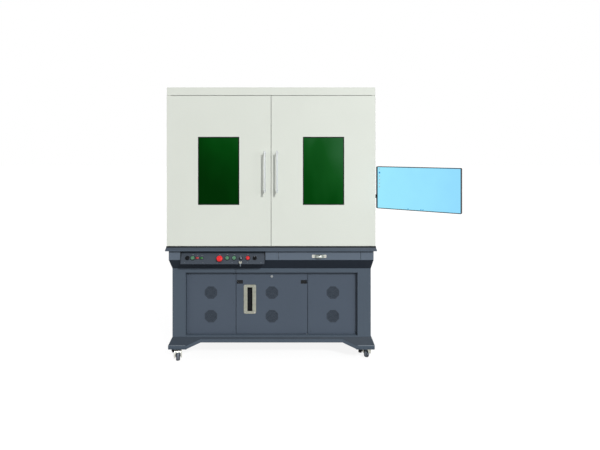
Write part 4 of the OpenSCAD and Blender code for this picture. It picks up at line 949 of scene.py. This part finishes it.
race = [(24.2, -4.2), (25.4, -3.6), (25.8, -2.0), (25.2, -0.6), (24.2, 0), (24.2, -4.2)]
for wheel, (fork, turn) in WHEELS.items():
    axle, way = middle(wheel), heading(turn)
    lever = {"left_caster": -1, "right_caster": 1}.get(fork)
    ends = [facing(axle + way * (s * AXLE_END), way * s) for s in SIDES if s != lever]
    piece(wheel + "_nuts", fork, screw_zinc, hex_bolt, ends, 5.6, 5.0)
    pivot = axle - Vector((way.y, -way.x, 0)) * TRAIL
    if lever:
        top = facing((pivot.x, pivot.y, RACE_Z), UP, FRONT)
        piece(wheel + "_race", fork, screw_zinc, lathe, [top], race, 40)
    stand = turned(Matrix.Translation((pivot.x, pivot.y, 0)), turn) @ Matrix.Scale(0.001, 4)
    piece(wheel + "_fork_lips", fork, zinc, fork_lips, [stand])
    piece(wheel + "_fork_hood", fork, zinc, hood, [stand])
    bolts = [(pivot.x + x, pivot.y + y, PAD_Z) for x in (-0.033, 0.033) for y in (-0.0265, 0.0265)]
    bolts = [facing(place, DOWN, FRONT) for place in bolts]
    piece(wheel + "_plate_bolts", "machine", screw_zinc, hex_bolt, bolts, 4.4, 4.2)
    ribs = [turned(facing(axle + way * (s * HUB_FACE), way * s), 60 * k) for s in SIDES for k in range(6)]
    piece(wheel + "_hub_ribs", wheel, hub_grey, slab, ribs, (8.6, -1.1, -0.5), (17.2, 1.1, 2.0), 0.4)
    if lever:
        brake = "left_brake" if lever < 0 else "right_brake"
        piece(brake + "_pad", brake, black_soft, toe_pad, [stand], lever)
        piece(brake + "_strut", brake, zinc, strut, [stand], lever)

# -------- monitor

screen_low, screen_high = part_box("monitor_screen")
TILT = radians(-31)
SCREEN_X = Vector((cos(TILT), sin(TILT), 0))
SCREEN_OUT = Vector((sin(TILT), -cos(TILT), 0))
SCREEN_MID = middle("monitor_screen")
SCREEN_W = (screen_high.x - screen_low.x) * 1000 / cos(TILT) - 2 * tan(-TILT)
SCREEN_H = (screen_high.z - screen_low.z) * 1000
GLASS_OUT, CASE_BACK = 0.0010, 0.031  # the lit face before the screen's middle, and the housing behind it


def on_screen(x, y, rise=0.0):
    """A frame on the lit face, in millimetres from its middle."""
    p = SCREEN_MID + SCREEN_OUT * (GLASS_OUT + rise / 1000) + SCREEN_X * (x / 1000) + Vector((0, 0, y / 1000))
    return facing(p, SCREEN_OUT)


def behind(x, y):
    """A frame on the monitor's back, where the raised housing ends."""
    p = SCREEN_MID - SCREEN_OUT * CASE_BACK + SCREEN_X * (x / 1000) + Vector((0, 0, y / 1000))
    return facing(p, -SCREEN_OUT)


def icon_glow(name, colour):
    """The finish of a lit shape on the display, its tone a little uneven."""
    p = Paint(name, Roughness=0.25, Specular_IOR_Level=0.3, Emission_Strength=0.9)
    p.shader.inputs["Base Color"].default_value = (0.01, 0.01, 0.01, 1)
    p.to("Emission Color", p.shades(p.noise(160.0, 1.0), colour, 0.88, 1.08))
    return p.material


def icons(name, colour, places, w, h, r):
    """Small bare shapes that stand on the display."""
    shape = ring_of(w, h, r)
    frames = [on_screen(x, y) for x, y in places]
    look = icon_glow("icon_" + name, colour)
    piece("screen_icons_" + name, "monitor", look, stack, frames, [(shape, 0), (shape, 0.12)], smooth=False)


column = [(-SCREEN_W / 2 + 12, SCREEN_H / 2 - 12 - 22 * k) for k in range(6)]
icons("pale", (176, 196, 208), column[:1] + column[2:], 7, 8, 1.6)
icons("blue", (24, 132, 214), column[1:2], 9, 11, 2.4)
icons("low", (52, 152, 218), [(x, -SCREEN_H / 2 + 4.5) for x in (-56, 22, 34)], 7, 5, 1.2)

tall = SCREEN_H / 2 + 2.6
end = on_screen(-SCREEN_W / 2 - 4.5, 0, -1)
piece("case_end", "monitor", case_black, slab, [end], (-5.8, -tall, -4.5), (0.6, tall, 1.9), 1.6)
# Two rows of louvres: the upper one stops at both sides of the mount.
louvre_x = [k * 13 - 110.5 for k in range(18)]
louvres = [behind(x, y) for x in louvre_x for y in (62, -66) if y < 0 or abs(x) > 56]
piece("case_louvres", "monitor", case_black, slab, louvres, (-3.2, -13, -0.4), (3.2, 13, 0.9), 0.5)
screws = [behind(x, y) for x in (-150, 150) for y in (-78, 78)]
piece("case_screws", "monitor", screw_black, cross_screw, screws, 3.4, 1.4)
vesa = [behind(x, y + 10) @ Vector((0, 0, 5)) for x in (-37.5, 37.5) for y in (-37.5, 37.5)]
vesa = [facing(place, -SCREEN_OUT) for place in vesa]
piece("case_mount_screws", "monitor", screw_black, button_screw, vesa, 4.0, 2.0)
spot = on_screen(SCREEN_W / 2 - 20, -SCREEN_H / 2 - 2.4, 0.1)
dome = [(0, 0.5), (0.8, 0.4), (1.1, 0), (0, 0)]
piece("case_light", "monitor", standby, lathe, [spot], dome, 12, smooth=False)
low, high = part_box("arm_bracket")
arm_y, arm_z = (low.y + high.y) / 2, (low.z + high.z) / 2
bolts = [(low.x + 0.006, arm_y + y / 1000, arm_z + z / 1000) for y in (-33, 33) for z in (-28, 28)]
bolts = [facing(place, RIGHT) for place in bolts]
piece("bracket_screws", "machine", screw_black, button_screw, bolts, 5.0, 3.0)

# -------- table, column and scan head

head_low, head_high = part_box("scan_head")
lens_low, lens_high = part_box("scan_lens")
eye = middle("scan_lens")
glass = [(0, 2.6), (12, 2.3), (22, 1.4), (30, 0.2), (31.5, -0.5), (0, -0.5)]
under = facing((eye.x, eye.y, lens_low.z + 0.0062), DOWN, FRONT)
piece("lens_front", "carriage", lens_glass, lathe, [under], glass, 48)
seat = facing((eye.x, eye.y, lens_high.z - 0.010), UP, FRONT)
knurls = [turned(seat, 6 * k) for k in range(60)]
piece("lens_grip", "carriage", black, slab, knurls, (47.6, -1.3, 1.4), (48.7, 1.3, 8.6), smooth=False)


def on_head(x, y, z):
    """A frame above the scan head's top, in millimetres from its middle."""
    crown = Vector(((head_low.x + head_high.x) / 2, eye.y, head_high.z))
    return facing(crown + Vector((x, y, z)) / 1000, UP, BACK)


piece("head_lid", "carriage", anodised, plate, [on_head(0, 0, 0)], 118, 118, 3.0, 10.0)
corners = [on_head(x, y, 3) for x in (-52, 52) for y in (-52, 52)]
piece("head_lid_screws", "carriage", screw_black, cap_screw, corners, 3.6, 3.2)
shell = [(0, 9), (6.2, 9), (6.2, 14), (7.4, 14), (8.2, 13), (8.2, 3), (10.5, 3), (10.5, 0), (0, 0)]
piece("head_plugs", "carriage", screw_zinc, lathe, [on_head(x, 34, 3) for x in (-24, 24)], shell, 32)
low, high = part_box("z_carriage")
corners = [(MID_X + x / 1000, low.y, z) for x in (-56, 56) for z in (low.z + 0.012, high.z - 0.012)]
piece("carriage_screws", "carriage", screw_black, cap_screw, [facing(place) for place in corners], 4.2, 4.2)
low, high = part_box("z_column")
corners = [(MID_X + x / 1000, y, low.z + 0.010) for x in (-108, 108) for y in (low.y + 0.014, high.y - 0.014)]
feet = [facing(place, UP, BACK) for place in corners]
piece("column_bolts", "machine", screw_black, cap_screw, feet, 5.5, 6.0)
table_low, table_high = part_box("work_table")


def table_scale(bm):
    """A ruled scale along the table's front edge: bare ticks every 10 mm."""
    f = facing(((table_low.x + table_high.x) / 2, table_low.y, table_high.z))
    for k in range(-28, 29):
        long = 7.0 if k % 5 == 0 else 4.0
        slab(bm, f, (k * 10 - 0.35, -2 - long, 0), (k * 10 + 0.35, -2, 0.1))


piece("table_scale", "machine", print_dark, table_scale, smooth=False)
cover_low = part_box("top_cover")[0]
lamp_place = facing((MID_X, cover_low.y + 0.040, cover_low.z + 0.0002), DOWN, BACK)
piece("lamp_strip", "machine", lamp_diffuser, plate, [lamp_place], 580, 10, 0.9, 3.0)

# -------- electronics behind the front


def source_front(bm):
    """The laser source's front: two feet, two grips and a round connector."""
    for x in (-480, -80):
        lathe(bm, facing(at(x, 0, 182)), [(0, 4.5), (5, 4.5), (6.5, 3), (6.5, 0), (0, 0)], 20)
    for x in (-440, -180):
        slab(bm, facing(at(x, 0, 286)), (-60, -7, 0), (60, 7, 5), 2.0)
    shell = [(0, 5), (7, 5), (7, 12), (9, 12), (9.6, 11), (9.6, 3), (12, 3), (12, 0), (0, 0)]
    lathe(bm, facing(at(-110, 0, 286)), shell, 32)


def computer_front(bm):
    """The computer's front: a button, two ports and a drive's slot."""
    button = [(0, 2.6), (8, 2.6), (9, 1.8), (11, 1.8), (12, 1.0), (12, 0), (0, 0)]
    lathe(bm, facing(at(150, -60, 500)), button, 32)
    for x in (108, 132):
        trim(bm, facing(at(x, -60, 452)), 15, 7.4, 1.2, 1.2, 1.0, 0.3)
    slab(bm, facing(at(150, -60, 410)), (-66, -9, 0), (66, 9, 2.4), 0.8)
    slab(bm, facing(at(192, -62.4, 405)), (-8, -1.6, 0), (8, 1.6, 1.6), 0.4)


piece("source_front", "machine", black_soft, source_front)
piece("computer_front", "machine", black_soft, computer_front)
dome = [(0, 1.4), (1.6, 1.0), (2.2, 0), (0, 0)]
piece("computer_light", "machine", standby, lathe, [facing(at(196, -60, 452))], dome, 16, smooth=False)
piece("terminal_strip", "machine", black, slab, [facing(at(421, 20, 188))], (-96, -9, 0), (96, 9, 7), 1.0)
screws = [facing(at(340 + 18 * k, 20, 188)) @ Matrix.Translation((0, 0, 7)) for k in range(10)]
piece("terminal_screws", "machine", brass, cross_screw, screws, 4.4, 1.8)

# -------- stage and light

# How bright the room and the floor are as light on the object and to the eye, and the floor's own glow.
ROOM_LIGHT, ROOM_LOOK, FLOOR_LIGHT, FLOOR_LOOK = 0.36, 1.0, 0.28, 0.9
GLOW, GLOW_SHARE = 1.1, 0.8


def seen_directly(tree):
    """1 for rays from the camera, a mirror or glass, and 0 for the light that falls on the object."""
    rays = add(tree, "LightPath")
    value = rays.outputs["Is Camera Ray"]
    for other in ("Is Glossy Ray", "Is Transmission Ray"):
        either = add(tree, "Math", operation="MAXIMUM")
        tree.links.new(value, either.inputs[0])
        tree.links.new(rays.outputs[other], either.inputs[1])
        value = either.outputs[0]
    return value


def make_world():
    """A white room, dimmer as a light than it looks."""
    world = bpy.data.worlds.new("room")
    bpy.context.scene.world = world
    world.use_nodes = True
    tree = world.node_tree
    tree.nodes.clear()
    out = add(tree, "OutputWorld")
    mixer = add(tree, "MixShader")
    for socket, strength in ((1, ROOM_LIGHT), (2, ROOM_LOOK)):
        sky = add(tree, "Background", Color=(1, 1, 1, 1), Strength=strength)
        tree.links.new(sky.outputs[0], mixer.inputs[socket])
    tree.links.new(seen_directly(tree), mixer.inputs["Fac"])
    tree.links.new(mixer.outputs[0], out.inputs["Surface"])


def floor_material():
    """A pale floor that keeps the shadow: it reads as white, and throws little light back up."""
    m = bpy.data.materials.new("floor")
    m.use_nodes = True
    t = m.node_tree
    t.nodes.clear()
    output = add(t, "OutputMaterial")
    seen = seen_directly(t)
    shade = add(t, "MapRange", To_Min=FLOOR_LIGHT, To_Max=FLOOR_LOOK)
    matt = add(t, "BsdfDiffuse")
    t.links.new(seen, shade.inputs["Value"])
    t.links.new(shade.outputs["Result"], matt.inputs["Color"])
    glow = add(t, "Emission", Strength=GLOW)
    part = add(t, "Math", operation="MULTIPLY")
    part.inputs[1].default_value = GLOW_SHARE
    mix = add(t, "MixShader")
    t.links.new(seen, part.inputs[0])
    t.links.new(part.outputs[0], mix.inputs["Fac"])
    t.links.new(matt.outputs[0], mix.inputs[1])
    t.links.new(glow.outputs[0], mix.inputs[2])
    t.links.new(mix.outputs[0], output.inputs["Surface"])
    return m


make_world()
bpy.ops.mesh.primitive_plane_add(size=60, location=(0, 0, 0))
floor = bpy.context.object
floor.name = "floor"
floor.data.materials.append(floor_material())


def light(name, kind, energy, way, **settings):
    """A light that shines one way."""
    data = bpy.data.lights.new(name, kind)
    data.energy = energy
    for key, value in settings.items():
        setattr(data, key, value)
    obj = new_object(name, data)
    obj.rotation_euler = way.to_track_quat("-Z", "Y").to_euler()
    return obj


light("key_light", "SUN", 2.35, -Vector((0.5, -1.0, 0.72)), angle=radians(5))
light("fill_light", "SUN", 0.3, -Vector((-1.0, -0.6, 0.6)), angle=radians(60))
light("back_light", "SUN", 1.6, -Vector((-0.35, 1.0, 0.8)), angle=radians(50))
lamp = at(2400, -2300, 1700)
aim = at(500, -450, 900) - lamp
light("soft_box", "AREA", 15, aim, shape="DISK", size=1.6, color=(0.93, 0.97, 1.0)).location = lamp

bpy.context.scene.view_settings.view_transform = "Standard"
